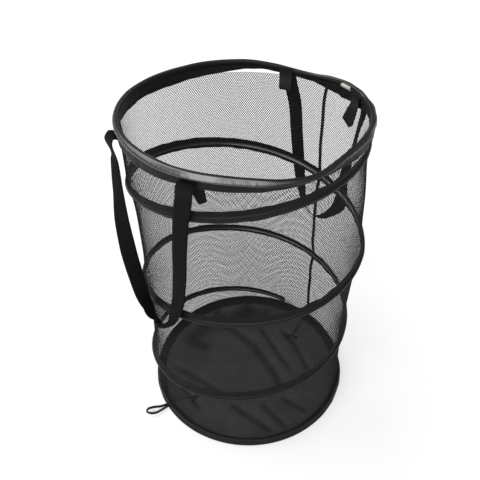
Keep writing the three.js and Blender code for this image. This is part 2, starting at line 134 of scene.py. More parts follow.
def add_piece(
    name, points, groups, finish, body, slot, corner_uv=None, closed=True, smooth=True, stands_for=()
):
    """One named mesh from points and arrays of faces, with its finish and its body. The slot is not used."""
    points = np.asarray(points, float).reshape(-1, 3)
    groups = [np.asarray(faces) for faces in groups]
    if closed and signed_volume(points, groups) < 0:
        groups = [faces[:, ::-1] for faces in groups]
        corner_uv = None if corner_uv is None else [uv[:, ::-1] for uv in corner_uv]
    corners = np.concatenate([faces.ravel() for faces in groups])
    sizes = np.concatenate([np.full(len(faces), faces.shape[1]) for faces in groups])
    mesh = bpy.data.meshes.new(name)
    mesh.vertices.add(len(points))
    mesh.vertices.foreach_set("co", points.astype(np.float32).ravel())
    mesh.loops.add(len(corners))
    mesh.loops.foreach_set("vertex_index", corners.astype(np.int32))
    mesh.polygons.add(len(sizes))
    mesh.polygons.foreach_set("loop_start", np.concatenate([[0], np.cumsum(sizes)[:-1]]).astype(np.int32))
    mesh.polygons.foreach_set("use_smooth", np.full(len(sizes), smooth))
    mesh.update(calc_edges=True)
    if corner_uv is not None:
        layer = mesh.uv_layers.new(name="Cloth")
        flat_uv = np.concatenate([uv.reshape(-1, 2) for uv in corner_uv])
        layer.data.foreach_set("uv", flat_uv.astype(np.float32).ravel())
    mesh.materials.append(finish)
    piece = bpy.data.objects.new(name, mesh)
    bpy.context.scene.collection.objects.link(piece)
    if body is not None:
        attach(piece, body)
    if stands_for:
        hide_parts(*stands_for)
    return piece


def arc_length(path):
    """Distance along a path of points, from its first."""
    return np.concatenate([[0], np.cumsum(np.linalg.norm(np.diff(path, axis=0), axis=1))])


def unit(vectors):
    """Each vector over its own length."""
    return vectors / np.linalg.norm(vectors, axis=-1, keepdims=True)


def smooth_curve(marks, count):
    """A Catmull-Rom curve through the marks, spaced by the distances between them, at count even steps."""
    marks = np.asarray(marks, float)
    at = arc_length(marks)
    slope = np.gradient(marks, at, axis=0)
    wanted = np.linspace(0, at[-1], count)
    k = np.clip(np.searchsorted(at, wanted, side="right") - 1, 0, len(at) - 2)
    span = (at[k + 1] - at[k])[:, None]
    t = (wanted[:, None] - at[k][:, None]) / span
    return (
        (2 * t**3 - 3 * t**2 + 1) * marks[k]
        + (t**3 - 2 * t**2 + t) * span * slope[k]
        + (3 * t**2 - 2 * t**3) * marks[k + 1]
        + (t**3 - t**2) * span * slope[k + 1]
    )


def around(degrees, radius, z):
    """Points at an angle about Z, a radius and a height. The three broadcast."""
    degrees, radius, z = np.broadcast_arrays(np.radians(degrees), radius, z)
    return np.stack([radius * np.cos(degrees), radius * np.sin(degrees), z], -1)


# %% [markdown]
# ## Finishes
#
# Shader maths reads best as sums. `Signal` wraps a socket so that `1 - mask` or `a * b` adds the
# Math nodes by itself, and `Finish.node` makes every other node. Patterns follow the piece's own
# UV map, which here is measured in metres: u goes across a tape and v goes along it.

# %% Shader expressions
class Signal:
    """A number that a socket gives. Python's operators on it add Math nodes."""

    def __init__(self, finish, socket):
        self.finish = finish
        self.socket = socket

    def math(self, operation, *others):
        return self.finish.node("ShaderNodeMath", {"operation": operation}, self, *others)

    def __add__(self, other):
        return self.math("ADD", other)

    def __mul__(self, other):
        return self.math("MULTIPLY", other)

    def __sub__(self, other):
        return self.math("SUBTRACT", other)

    def __rsub__(self, other):
        return self.finish.node("ShaderNodeMath", {"operation": "SUBTRACT"}, other, self)

    def __truediv__(self, other):
        return self.math("DIVIDE", other)

    __radd__ = __add__
    __rmul__ = __mul__

    def sine(self):
        return self.math("SINE")

    def size(self):
        return self.math("ABSOLUTE")

    def clamped(self):
        return self.finish.node("ShaderNodeClamp", {}, self)


class Finish:
    """One material, built node by node."""

    def __init__(self, name):
        self.material = bpy.data.materials.new(name)
        self.material.use_nodes = True
        self.tree = self.material.node_tree
        self.tree.nodes.clear()

    def node(self, kind, settings, *values, out=0, **named):
        """A node of one kind: its settings first, then values or signals for its sockets, by place or
        by name."""
        made = self.tree.nodes.new(kind)
        for key, value in settings.items():
            setattr(made, key, value)
        pairs = [(made.inputs[i], value) for i, value in enumerate(values) if value is not None]
        pairs += [(made.inputs[key.replace("_", " ")], value) for key, value in named.items()]
        for socket, value in pairs:
            if isinstance(value, Signal):
                self.tree.links.new(value.socket, socket)
            else:
                socket.default_value = value
        return Signal(self, made.outputs[out]) if len(made.outputs) else None

    def cloth_axes(self):
        """u across and v along the piece, in metres."""
        place = self.node("ShaderNodeUVMap", {"uv_map": "Cloth"})
        split = self.node("ShaderNodeSeparateXYZ", {}, place)
        return split, Signal(self, split.socket.node.outputs[1])

    def object_noise(self, scale, detail=3.0, roughness=0.5):
        place = self.node("ShaderNodeTexCoord", {}, out=3)
        return self.node(
            "ShaderNodeTexNoise", {}, Vector=place, Scale=scale, Detail=detail, Roughness=roughness
        )

    def blend(self, share, low, high):
        """A colour between two, by a signal from 0 to 1."""
        mixed = self.node("ShaderNodeMix", {"data_type": "RGBA"}, share, out=2)
        mixed.socket.node.inputs[6].default_value = (*low, 1)
        mixed.socket.node.inputs[7].default_value = (*high, 1)
        return mixed

    def bump(self, height, strength, distance):
        return self.node("ShaderNodeBump", {}, Strength=strength, Distance=distance, Height=height)

    def surface(self, **sockets):
        shader = self.node("ShaderNodeBsdfPrincipled", {}, **sockets)
        self.node("ShaderNodeOutputMaterial", {}, shader)
        return self.material


# %% [markdown]
# ## Cloth finishes
#
# Everything sewn here is black, so what tells the cloths apart is their weave and their shine.
# Tape has fine cross ribs and a satin glint. Webbing has bold ribs along it and no shine. The base
# panel is a plain weave of charcoal yarn. Each pattern is a product of sines in u and v.

# %% Tape, webbing, elastic, panel and thread
FULL_TURN = 2 * np.pi


def tape_finish(name, low, high, rough, shine, taut=(), worn=None, coat_ior=1.8, rib=0.0011, depth=0.00012):
    """Woven binding tape: ribs across it, softened by noise. Where it is stretched taut over a wire, in
    stripes given by their middle and half width, it has a polished coat. The piece's attribute that worn
    names says how polished each place is."""
    finish = Finish(name)
    across, along = finish.cloth_axes()
    ribs = (along * (FULL_TURN / rib)).sine()
    yarns = (across * (FULL_TURN / (rib * 1.4))).sine()
    wear = finish.object_noise(38.0, 4.0, 0.6)
    weave = ribs * yarns * 0.5 + 0.5
    shade = (weave * 0.35 + wear * 0.65).clamped()
    relief = finish.bump(weave * 0.7 + wear * 0.6, 0.6, depth)
    coat = {}
    if taut:
        stripes = [((half - (across - middle).size()) / 0.0012).clamped() for middle, half in taut]
        polish = (sum(stripes) * (1.2 - wear * 0.5)).clamped()
        if worn:
            polish = polish * finish.node("ShaderNodeAttribute", {"attribute_name": worn}, out=2)
        coat = {"Coat_Weight": polish, "Coat_Roughness": 0.24, "Coat_IOR": coat_ior}
    return finish.surface(
        Base_Color=finish.blend(shade, low, high),
        Roughness=wear * 0.16 + rough,
        Specular_IOR_Level=shine,
        Normal=relief,
        **coat,
    )


def webbing_finish(name, low, high):
    """Flat webbing: eight ribs along it, crossed by short picks, with uneven rubbed tone, and a painted
    highlight that makes it paler where its ends bend over."""
    finish = Finish(name)
    across, along = finish.cloth_axes()
    ribs = (across * (FULL_TURN / 0.0031)).sine()
    picks = (along * (FULL_TURN / 0.0016) + ribs * 1.4).sine()
    rubbed = finish.object_noise(26.0, 4.0, 0.6)
    weave = ribs * 0.3 + picks * 0.2 + 0.5
    # Painted highlight: paler from 12 to 36 mm from an end, where the webbing bends over its fold.
    painted_fold_highlight = ((0.036 - along) / 0.012).clamped() * ((along - 0.012) / 0.006).clamped()
    shade = (weave * 0.3 + rubbed * 0.3 + painted_fold_highlight * 0.4).clamped()
    return finish.surface(
        Base_Color=finish.blend(shade, low, high),
        Roughness=rubbed * 0.15 + 0.72,
        Specular_IOR_Level=0.12,
        Normal=finish.bump(weave, 0.7, 0.0003),
    )


def elastic_finish():
    """Knitted elastic: fine ribs along the band and a pale glint where the ribs stretch."""
    finish = Finish("elastic")
    across, along = finish.cloth_axes()
    ribs = (across * (FULL_TURN / 0.0011)).sine()
    knit = (along * (FULL_TURN / 0.0013)).sine()
    weave = (ribs * knit * 0.5 + 0.5).clamped()
    return finish.surface(
        Base_Color=finish.blend(weave, (0.006, 0.006, 0.007), (0.018, 0.018, 0.02)),
        Roughness=weave * 0.1 + 0.6,
        Specular_IOR_Level=0.25,
        Normal=finish.bump(weave, 0.6, 0.0002),
    )


def panel_finish():
    """Plain-woven charcoal cloth. An attribute of the piece, -1 to 1, paints shade into its creases and a
    highlight onto their ridges.
    """
    finish = Finish("panel_cloth")
    across, along = finish.cloth_axes()
    warp = (across * (FULL_TURN / 0.0012)).sine()
    weft = (along * (FULL_TURN / 0.0012)).sine()
    painted_crease_shading = finish.node("ShaderNodeAttribute", {"attribute_name": "PaintedCreaseShading"}, out=2)
    uneven = finish.object_noise(17.0, 6.0, 0.62)
    weave = warp * weft * 0.5 + 0.5
    # Painted shade in the creases and a painted highlight on their ridges, from the piece's attribute.
    shade = (painted_crease_shading * 0.42 + weave * 0.06 + uneven * 0.7 + 0.12).clamped()
    return finish.surface(
        Base_Color=finish.blend(shade, (0.012, 0.0122, 0.014), (0.116, 0.117, 0.127)),
        Roughness=uneven * 0.15 + 0.46,
        Specular_IOR_Level=0.35,
        Normal=finish.bump(weave * 0.3 + uneven, 0.5, 0.0003),
    )


def thread_finish(name, colour, rough):
    """Sewing thread and netting yarn: one dark colour, since a yarn is finer than any mark on it."""
    finish = Finish(name)
    return finish.surface(Base_Color=(*colour, 1), Roughness=rough, Specular_IOR_Level=0.2)


rim_tape = tape_finish(
    "rim_tape", (0.0032, 0.003, 0.0034), (0.0125, 0.0117, 0.0125), 0.4, 0.2,
    taut=[(0.0226, 0.0062), (0.0318, 0.0016)], worn="Polish", coat_ior=2.1,
)
casing_tape = tape_finish(
    "casing_tape", (0.0025, 0.0025, 0.003), (0.0095, 0.0095, 0.0103), 0.34, 0.25, taut=[(0.0482, 0.0026)]
)
body_tape = tape_finish(
    "body_tape", (0.0045, 0.0045, 0.0052), (0.0135, 0.0137, 0.0152), 0.4, 0.22, taut=[(0.0334, 0.0016)]
)
webbing = webbing_finish("webbing", (0.0022, 0.0022, 0.0025), (0.0125, 0.0125, 0.0132))
webbing_ends = webbing_finish("webbing_ends", (0.008, 0.008, 0.0088), (0.034, 0.034, 0.036))
elastic = elastic_finish()
panel_cloth = panel_finish()
netting_yarn = thread_finish("netting_yarn", (0.012, 0.012, 0.013), 0.55)
seam_thread = thread_finish("seam_thread", (0.02, 0.02, 0.022), 0.5)
seam_braid = thread_finish("seam_braid", (0.22, 0.22, 0.23), 0.5)

# %% [markdown]
# ## Hard finishes
#
# The spring wire is drawn steel, the toggles are glossy moulded plastic, and the sleeves on the
# wire ends are pale plastic. Fine streaks or faint mottling from noise keep them from looking
# like plain paint.

# %% Wire, plastic and sleeves
def hard_finish(name, low, high, rough, metal, shine=0.5, grain=60.0):
    """Two near colours mixed by noise, a roughness that follows it, and a very shallow bump."""
    finish = Finish(name)
    mottle = finish.object_noise(grain, 4.0, 0.55)
    return finish.surface(
        Base_Color=finish.blend(mottle, low, high),
        Roughness=mottle * 0.12 + rough,
        Metallic=metal,
        Specular_IOR_Level=shine,
        Normal=finish.bump(mottle, 0.2, 0.0001),
    )


spring_steel = hard_finish("spring_steel", (0.4, 0.41, 0.43), (0.56, 0.57, 0.58), 0.3, 1.0, grain=240.0)
pale_plastic = hard_finish("pale_plastic", (0.5, 0.49, 0.44), (0.68, 0.66, 0.6), 0.42, 0.0)
black_plastic = hard_finish("black_plastic", (0.003, 0.003, 0.0035), (0.007, 0.007, 0.008), 0.1, 0.0)

# %% [markdown]
# ## Cords first
#
# Two short cords hold the toggles. Each leaves the base band, drops to the panel and runs along
# it to the waist of its bar. The route's points are the same as the solids'. The cord is a tube:
# a small ring is carried along the path, square to it.

# %% Toggle cords and bars
CORD_RADIUS = 0.0009
CORD_ROUTES = {
    "right": [
        (0.1866, 0.0095, 0.0100), (0.1840, 0.0093, 0.0096), (0.1785, 0.0080, 0.0060),
        (0.1700, 0.0050, 0.0031), (0.1560, 0.0000, 0.0026), (0.1410, -0.0045, 0.0028),
        (0.1300, -0.0076, 0.0034), (0.1220, -0.0098, 0.0041),
    ],
    "left": [
        (-0.1822, 0.0415, 0.0100), (-0.1796, 0.0408, 0.0096), (-0.1745, 0.0375, 0.0060),
        (-0.1670, 0.0320, 0.0031), (-0.1570, 0.0255, 0.0026), (-0.1480, 0.0190, 0.0028),
        (-0.1420, 0.0148, 0.0034), (-0.1370, 0.0114, 0.0041),
    ],
}
TOGGLE_TURN = {"right": 117.0, "left": 14.0}
TOGGLE_HEIGHT = 0.0041


def tube(path, radius, sides=10):
    """Rings of a given radius round a path, square to it, kept upright so that they don't twist."""
    along = unit(np.gradient(path, axis=0))
    side = unit(np.cross(along, [0, 0, 1.0]))
    over = np.cross(side, along)
    turn = np.linspace(0, FULL_TURN, sides, endpoint=False)[:, None]
    radius = np.broadcast_to(radius, len(path))[:, None, None]
    return path[:, None] + radius * (np.cos(turn) * side[:, None] + np.sin(turn) * over[:, None])


def capped_rings(rings):
    """Points and faces of a tube through rings, with a fan to a middle point at each end."""
    count, sides = rings.shape[:2]
    faces, row, column = grid(count, sides, close_columns=True)
    points = np.concatenate([rings.reshape(-1, 3), rings[0].mean(0)[None], rings[-1].mean(0)[None]])
    k = np.arange(sides)
    first = np.column_stack([(k + 1) % sides, k, np.full(sides, count * sides)])
    last = (count - 1) * sides
    final = np.column_stack([last + k, last + (k + 1) % sides, np.full(sides, count * sides + 1)])
    return points, [faces, first, final], row, column


def ring_uv(row, column, around_m, along_m, fans):
    """UVs in metres for the sides of a tube, and plain ones for its end fans."""
    sides = np.stack([around_m[column], along_m[row]], -1)
    return [sides] + [np.zeros((len(fan), 3, 2)) for fan in fans]


def toggle_cord(side):
    """A round tube along the smooth curve through the cord's route."""
    path = smooth_curve(CORD_ROUTES[side], 40)
    points, groups, row, column = capped_rings(tube(path, CORD_RADIUS))
    girth = np.linspace(0, FULL_TURN * CORD_RADIUS, 11)
    uv = ring_uv(row, column, girth, arc_length(path), groups[1:])
    piece = add_piece(
        f"{side}_cord", points, groups, elastic, f"{side}_toggle", "elastic", uv,
        stands_for=[f"{side}_toggle_cord"],
    )
    return piece, path


def toggle_bar(side, end, before):
    """A short bar turned from a profile: rounded ends, a narrow waist where the cord goes in."""
    half, big, waist, flat = 0.015, 0.0026, 0.0019, 0.0035
    heel = np.linspace(0, np.pi / 2, 7)
    profile = np.concatenate([
        np.column_stack([big * np.sin(heel), -half + 0.0013 * (1 - np.cos(heel))]),
        [[big, -flat - 0.0013], [waist + 0.0002, -flat - 0.0002], [waist, -flat + 0.0004]],
    ])
    profile = np.concatenate([profile, (profile * [1, -1])[::-1]])
    turn = np.linspace(0, FULL_TURN, 28, endpoint=False)
    along_bar = np.array([np.cos(np.radians(TOGGLE_TURN[side])), np.sin(np.radians(TOGGLE_TURN[side])), 0])
    across = np.array([-along_bar[1], along_bar[0], 0])
    run = unit((end - before) * [1, 1, 0])
    middle = end + run * 0.0003
    middle[2] = TOGGLE_HEIGHT
    rings = (
        middle
        + profile[:, 1, None, None] * along_bar
        + profile[:, 0, None, None] * (np.cos(turn)[:, None] * across + np.sin(turn)[:, None] * [0, 0, 1])
    )
    points, groups, row, column = capped_rings(rings[1:-1])
    return add_piece(
        f"{side}_toggle", points, groups, black_plastic, f"{side}_toggle", "bar",
        stands_for=[f"{side}_toggle_bar"],
    )


for side in ("right", "left"):
    cord, path = toggle_cord(side)
    bar = toggle_bar(side, path[-1], path[-3])

# %% [markdown]
# ## Where the wall goes
#
# Later pieces all hang on three facts about the wall: how the rim dips and rises, how the spiral
# winds down, and how the net draws in a little between the wires. Each is one small function of
# angle and height, so the pieces that share it stay together.

# %% Rim wave, spiral line and waist
HEIGHT = 0.6
WALL_RADIUS = 0.191
PHOTO_TURN = 41.5
SPIRAL_START = -60.0
SPIRAL_TURNED = np.array([
    0, 71.5, 161.5, 210, 251.5, 300, 341.5, 400, 440, 480, 521.5, 611.5, 701.5, 791.5, 881.5, 971.5, 1000,
])
SPIRAL_HEIGHT = np.array([
    566, 539, 490, 459, 433, 401, 375, 347, 335, 318, 299, 226, 185, 151, 100, 43, 27,
]) / 1000
CASING_HALF = np.array([
    [0, 0.0104], [430, 0.0104], [560, 0.0082], [660, 0.0086], [740, 0.0116], [850, 0.0116], [940, 0.0084],
    [1000, 0.0078],
])
RIDGE_DROP_SHARE = 0.31
SWELL = np.array([
    [0, 0], [310, 0], [325, 4], [340, 8], [360, 12], [380, 11], [400, 9], [420, 6], [440, 3],
    [480, 2], [500, 0], [520, -4], [540, -7], [580, -3], [620, 0], [720, 0], [868, 3], [960, 0], [1000, 0],
])
WAIST = 0.0070
NET_BULGE = 0.0045
UPPER_END = 0.59
LOWER_END = 0.008
RUN_ON = 40


def rim_wave(degrees, z):
    """How far the mouth stands off level: two waves round it, felt only near the top of the wall."""
    turn = np.radians(np.asarray(degrees) + PHOTO_TURN)
    wave = -2.3 * np.cos(turn) - 2.2 * np.sin(turn) + 3.1 * np.cos(2 * turn) - 1.4 * np.sin(2 * turn)
    share = np.clip((np.asarray(z) / HEIGHT - 0.72) / 0.28, 0, 1)
    return wave / 1000 * share * share * (3 - 2 * share)


RIM_SHAPE = np.array([
    [-45, 0, -4, 20, 0, 3.0], [-25, 0, -3, 24, 0, 3.0], [-13, 1, 0, 23, 0, 3.2], [-2, 3, 0, 19, 0, 2.4],
    [11, 8, -1, 8, 0, 1],
    [23, 4, -1, 8, 0, 1], [34, -1, 0, 8, 0, 1], [45, -5, 0, 11, 0, 1], [58, -4.5, 0, 17, 0, 1],
    [71, -4, 0, 21, 0, 1], [83, -1, 0, 21, 0, 1], [96, 0, 0, 23, 0, 1], [111, 1, 0, 21, 0, 1],
    [150, 0, 0, 20, 0, 1], [180, 1, 0, 17.5, 0.4, 1], [186, 1.7, 0, 14.5, 0.7, 1], [192, 2.4, 0, 12.3, 1, 1],
    [203, 2.4, 0, 10.9, 1, 1], [215, 2.4, 0, 10.1, 1, 1], [229, 5, 0, 9.3, 1, 1],
    [236.6, 6.5, 6, 9.6, 0.8, 1], [244, 7.5, 6.5, 9.8, 0.3, 1], [253, 9, 9, 8.8, 0, 1],
    [262, 5, 4, 10.5, 0, 1], [272, 0, 0, 16, 0, 2], [290, 0, 0, 19, 0, 3.0],
])


def rim_shape(degrees):
    """Drop, lean and flange depth in mm, then flatness and wrinkling, from RIM_SHAPE by angle: the mean
    over twelve degrees, so that no corner shows."""
    near = np.asarray(degrees, float)[..., None] + np.linspace(-6, 6, 7)
    return [np.interp(near, RIM_SHAPE[:, 0], column, period=360).mean(-1) for column in RIM_SHAPE[:, 1:].T]


def spiral_height(turned):
    """Height of the wire after a turn down from its top end: a smooth curve through measured heights."""
    slope = np.gradient(SPIRAL_HEIGHT, SPIRAL_TURNED)
    k = np.clip(np.searchsorted(SPIRAL_TURNED, turned, side="right") - 1, 0, len(SPIRAL_TURNED) - 2)
    span = SPIRAL_TURNED[k + 1] - SPIRAL_TURNED[k]
    t = (turned - SPIRAL_TURNED[k]) / span
    return (
        (2 * t**3 - 3 * t**2 + 1) * SPIRAL_HEIGHT[k]
        + (t**3 - 2 * t**2 + t) * span * slope[k]
        + (3 * t**2 - 2 * t**3) * SPIRAL_HEIGHT[k + 1]
        + (t**3 - t**2) * span * slope[k + 1]
    )


def wall_radius(degrees, z):
    """Each turn of the wire swells or pulls in the net, which draws in between by 1 - (2 t - 1)^4.
    Past its two ends the wire's line runs on to the hoop there, so that the net has no step."""
    degrees, z = np.broadcast_arrays(np.asarray(degrees, float), np.asarray(z, float))
    turns = ((SPIRAL_START - degrees) % 360)[..., None] + 360 * np.arange(-1, 3)
    last = SPIRAL_TURNED[-1]
    line = spiral_height(np.clip(turns, 0, last))
    line = line + (
        np.clip(-turns / RUN_ON, 0, 1) * (UPPER_END - line)
        + np.clip((turns - last) / RUN_ON, 0, 1) * (LOWER_END - line)
    )
    level = np.full(z.shape + (1,), 1.0)
    ends = np.concatenate([UPPER_END * level, line, LOWER_END * level], -1)
    swell = np.concatenate([0 * level, np.interp(turns, *SWELL.T), 0 * level], -1)
    up = np.where(ends >= z[..., None], ends, 9).argmin(-1)[..., None]
    down = np.where(ends < z[..., None], ends, -9).argmax(-1)[..., None]
    above, below = np.take_along_axis(ends, up, -1)[..., 0], np.take_along_axis(ends, down, -1)[..., 0]
    span = np.maximum(above - below, 1e-4)
    t = np.clip((z - below) / span, 0, 1)
    full = np.take_along_axis(swell, down, -1)[..., 0] * (1 - t)
    full = full + np.take_along_axis(swell, up, -1)[..., 0] * t
    waist = (1 - (2 * t - 1) ** 4) * np.minimum(span / 0.19, 1.2) ** 2 * WAIST
    from_right = (degrees + 49 + 180) % 360 - 180
    bulge = NET_BULGE * np.exp(-((from_right / 28) ** 2) - ((z - 0.47) / 0.07) ** 2)
    return WALL_RADIUS + full / 1000 - waist + bulge


def casing_half(turned):
    """Half the casing's width after a turn down from its top end: straight lines between marks."""
    return np.interp(turned, *CASING_HALF.T)


def ridge_height(turned):
    """Height of the wire in its casing: below the band's middle by a share of its half width."""
    return spiral_height(turned) - RIDGE_DROP_SHARE * casing_half(turned)


def ripple(degrees, low, high, seed):
    """An uneven wave round a ring, about -1 to 1: eight sines with whole counts from a seeded generator."""
    source = np.random.default_rng(seed)
    counts = source.integers(low, high, 8)
    phases = source.uniform(0, FULL_TURN, 8)
    return np.sin(np.multiply.outer(np.radians(degrees), counts) + phases).sum(-1) / 3.2


print("spiral goes from", spiral_height(0.0), "to", spiral_height(1000.0), "m")

# %% [markdown]
# ## Folded tape
#
# The rim band and the base band are one tape folded over a hoop: round over the wire, with two
# flat flanges down both sides of the net. The section is a closed loop of points, an offset from
# the wall and a height, and it is carried round the circle. Small ripples along the flange edges
# are what sewing through net and tape does.

# %% Rim band and base band
def fold_section(bulge, flange, foot, steps=18):
    """A loop of (offset, height) over a wire at the origin: flange foot, over the wire, other foot."""
    start = np.arcsin(flange / bulge)
    turn = np.linspace(-np.pi / 2 + start, 3 * np.pi / 2 - start, steps)
    over = np.column_stack([bulge * np.cos(turn), bulge * np.sin(turn)])
    heights = np.linspace(foot, over[0, 1], 7)[:-1]
    side = np.column_stack([np.full(6, flange), heights])
    lip = [[flange * 0.5, foot - 0.0003], [-flange * 0.5, foot - 0.0003]]
    return np.concatenate([side, over, (side * [-1, 1])[::-1], lip])


def closed_loop_piece(name, points, section_length, turn_length, **about):
    """A ring that closes both ways, with UVs in metres round its section and round its circle."""
    rows, columns = points.shape[:2]
    faces, row, column = grid(rows, columns, True, True)
    uv = np.stack([section_length[column], turn_length[row]], -1)
    return add_piece(name, points, [faces], corner_uv=[uv], **about)


def section_distance(section):
    """Distance round a closed loop of section points, from its first."""
    return arc_length(np.concatenate([section, section[:1]]))


RING_STEPS = 540
ring_degrees = np.arange(RING_STEPS) * 360 / RING_STEPS
ring_length = np.linspace(0, FULL_TURN * WALL_RADIUS, RING_STEPS + 1)
RIM_WIRE_Z = 0.5963


RIM_POLISH = np.array([
    [-45, 0.4], [30, 0.5], [100, 0.7], [180, 0.75], [195, 1], [229, 1], [239, 0.25], [280, 0.35],
])


def taut_section(section, bulge):
    """The same loop with the upper outer quarter of its roll pulled straight, from 0 to 75 degrees."""
    share = np.degrees(np.arctan2(section[:, 1], section[:, 0])) / 75
    chord = np.column_stack([
        bulge * (1 - share + np.cos(np.radians(75)) * share), bulge * np.sin(np.radians(75)) * share
    ])
    return np.where(((share > 0) & (share < 1))[:, None], chord, section)


def rim_sway(degrees):
    """How far the flange strays sideways: a slow wave and a quick one, in metres."""
    return 0.0006 * ripple(degrees, 3, 9, 5), 0.0003 * ripple(degrees, 20, 70, 4)


def rim_band():
    """The fold over the rim hoop: it dips, leans out and narrows where RIM_SHAPE says, and wrinkles."""
    drop, lean, depth, flat, wrinkle = [column[:, None] for column in rim_shape(ring_degrees)]
    section = fold_section(0.0050, 0.0019, -0.0202, steps=26)
    low = np.clip(-section[:, 1] / 0.0202, 0, 1)
    taut = taut_section(section, 0.0050)
    swell = 1 + 0.03 * wrinkle * ripple(ring_degrees, 7, 30, 3)[:, None] + 0.45 * flat
    slow, quick = [wave[:, None] for wave in rim_sway(ring_degrees)]
    sway = slow + quick * low * wrinkle
    uneven = 0.0003 * ripple(ring_degrees, 12, 50, 6)[:, None] * low
    pinch = 0.0002 * ripple(ring_degrees, 60, 160, 8)[:, None] * (1 - low) * (section[:, 1] < 0.003)
    phase = np.radians(ring_degrees * 9)[:, None] + section_distance(section)[:-1] * 900
    crease = 0.0003 * (wrinkle - 1) * np.sin(phase)
    offset = section[:, 0] + flat * (taut[:, 0] - section[:, 0])
    height = section[:, 1] + flat * (taut[:, 1] - section[:, 1])
    height = np.where(height < 0, height * depth / 20.2, height) * swell
    offset = offset * swell + sway + pinch + crease * np.sign(offset) + lean / 1000 * (1 - low)
    z = RIM_WIRE_Z - drop / 1000 + height - uneven
    points = around(ring_degrees[:, None], WALL_RADIUS + offset, z + rim_wave(ring_degrees[:, None], z))
    band = closed_loop_piece(
        "rim_band_tape", points, section_distance(section), ring_length,
        finish=rim_tape, body="rim", slot="tape", stands_for=["rim_band"],
    )
    polish = np.interp(ring_degrees, *RIM_POLISH.T, period=360)
    worn = band.data.attributes.new("Polish", "FLOAT", "POINT")
    worn.data.foreach_set("value", np.repeat(polish, points.shape[1]).astype(np.float32))
    return band


def base_band():
    """A fold over the lower hoop, flat on the floor, whose inner layer runs on over the panel's edge."""
    section = np.array([
        [1.6, 16.6], [1.7, 14.2], [1.8, 11.6], [2.4, 9.6], [3.5, 8.0], [4.3, 6.2], [4.5, 4.3], [4.0, 2.2],
        [2.8, 0.7], [1.2, 0.2], [-2.0, 0.2], [-6.0, 0.9], [-11.6, 1.3], [-12.6, 1.8], [-11.8, 2.5],
        [-9.0, 2.5], [-6.6, 2.9], [-5.2, 4.0], [-4.6, 5.6], [-4.1, 7.4], [-2.9, 9.2], [-1.9, 10.8],
        [-1.7, 13.6], [-1.6, 16.6], [-0.8, 17.1], [0.8, 17.1],
    ]) / 1000
    high = np.clip(section[:, 1] / 0.0166 - 0.3, 0, 1)
    sway = 0.0005 * ripple(ring_degrees, 14, 60, 12)[:, None] * high
    roll = (section[:, 1] > 0.003) * (section[:, 1] < 0.009)
    bulge = 0.0004 * ripple(ring_degrees, 9, 40, 11)[:, None] * roll
    offset = section[:, 0] + sway + bulge * np.sign(section[:, 0])
    z = section[:, 1] + 0.0006 * ripple(ring_degrees, 15, 60, 13)[:, None] * high
    hem = np.clip((-section[:, 0] - 0.0085) / 0.004, 0, 1)
    offset = offset + 0.0007 * ripple(ring_degrees, 5, 26, 14)[:, None] * hem
    points = around(ring_degrees[:, None], WALL_RADIUS + offset, z)
    return closed_loop_piece(
        "base_band_tape", points, section_distance(section), ring_length,
        finish=body_tape, body="base", slot="tape", stands_for=["base_band"],
    )


rim_band()
base_band()

# %% [markdown]
# ## The wires
#
# The hoops and the spring are hidden inside their tapes, but the mouth's hoop has to follow the
# dips of the mouth, so it and the spring each get a piece of their own. The spring flattens when
# the hamper is pushed down. The pale sleeve that joins the mouth's hoop shows through a worn place.

# %% Hoops, spring and sleeves
WIRE_RADIUS = 0.00125
SLEEVE_INWARD = 0.0034
SLEEVE_BELOW = 0.0010


def ring_tube(name, degrees, radius, z, thick, finish, body, slot, stands_for, sides=10):
    """A capped tube along points given by angle, radius and height."""
    path = around(degrees, radius, z)
    points, groups, row, column = capped_rings(tube(path, thick, sides))
    return add_piece(name, points, groups, finish, body, slot, stands_for=stands_for)


def hoop_line(degrees):
    """Radius and height of the rim hoop, which leans and dips with its band."""
    drop, lean = rim_shape(degrees)[:2]
    return WALL_RADIUS + lean / 1000, RIM_WIRE_Z - drop / 1000 + rim_wave(degrees, 0.6)


hoop_degrees = np.linspace(-14.7, 344.7, 240)
ring_tube(
    "rim_hoop_wire", hoop_degrees, *hoop_line(hoop_degrees), WIRE_RADIUS,
    spring_steel, "rim", "wire", ["rim_hoop"],
)
sleeve_degrees = np.linspace(-18.9, -11.1, 40)
sleeve_radius, sleeve_z = hoop_line(sleeve_degrees)
ring_tube(
    "rim_hoop_sleeve", sleeve_degrees, sleeve_radius - SLEEVE_INWARD, sleeve_z - SLEEVE_BELOW,
    0.0036 + 0.0005 * ripple(sleeve_degrees * 20, 3, 12, 17),
    pale_plastic, "rim", "sleeve", ["rim_hoop_ferrule"], sides=16,
)
wire_turned = np.linspace(-4.2, 1004.2, 700)
wire_degrees = SPIRAL_START - wire_turned
wire_z = ridge_height(np.clip(wire_turned, 0, 1000))
wire_radius = wall_radius(wire_degrees, wire_z) - 0.0008
wire = ring_tube(
    "spring_wire", wire_degrees, wire_radius, wire_z + rim_wave(wire_degrees, wire_z), WIRE_RADIUS,
    spring_steel, "base", "wire", ["spiral_wire"], sides=8,
)
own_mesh(wire)
for name, turned in (("spiral_top_cap", -4.0), ("spiral_bottom_cap", 1004.0)):
    reach = np.linspace(turned - 1.6, turned + 1.6, 12)
    z = ridge_height(np.clip(reach, 0, 1000))
    cap = ring_tube(
        f"{name}_sleeve", SPIRAL_START - reach, WALL_RADIUS - 0.0034,
        z + rim_wave(SPIRAL_START - reach, z), 0.0021,
        pale_plastic, "base", "sleeve", [name],
    )
    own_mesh(cap)

# %% [markdown]
# ## The spiral casing
#
# The spring's tape is sewn to the net along both edges, with a round channel for the wire between
# them. The section is a thin band with a swelling in the middle, and it winds down with the wire.

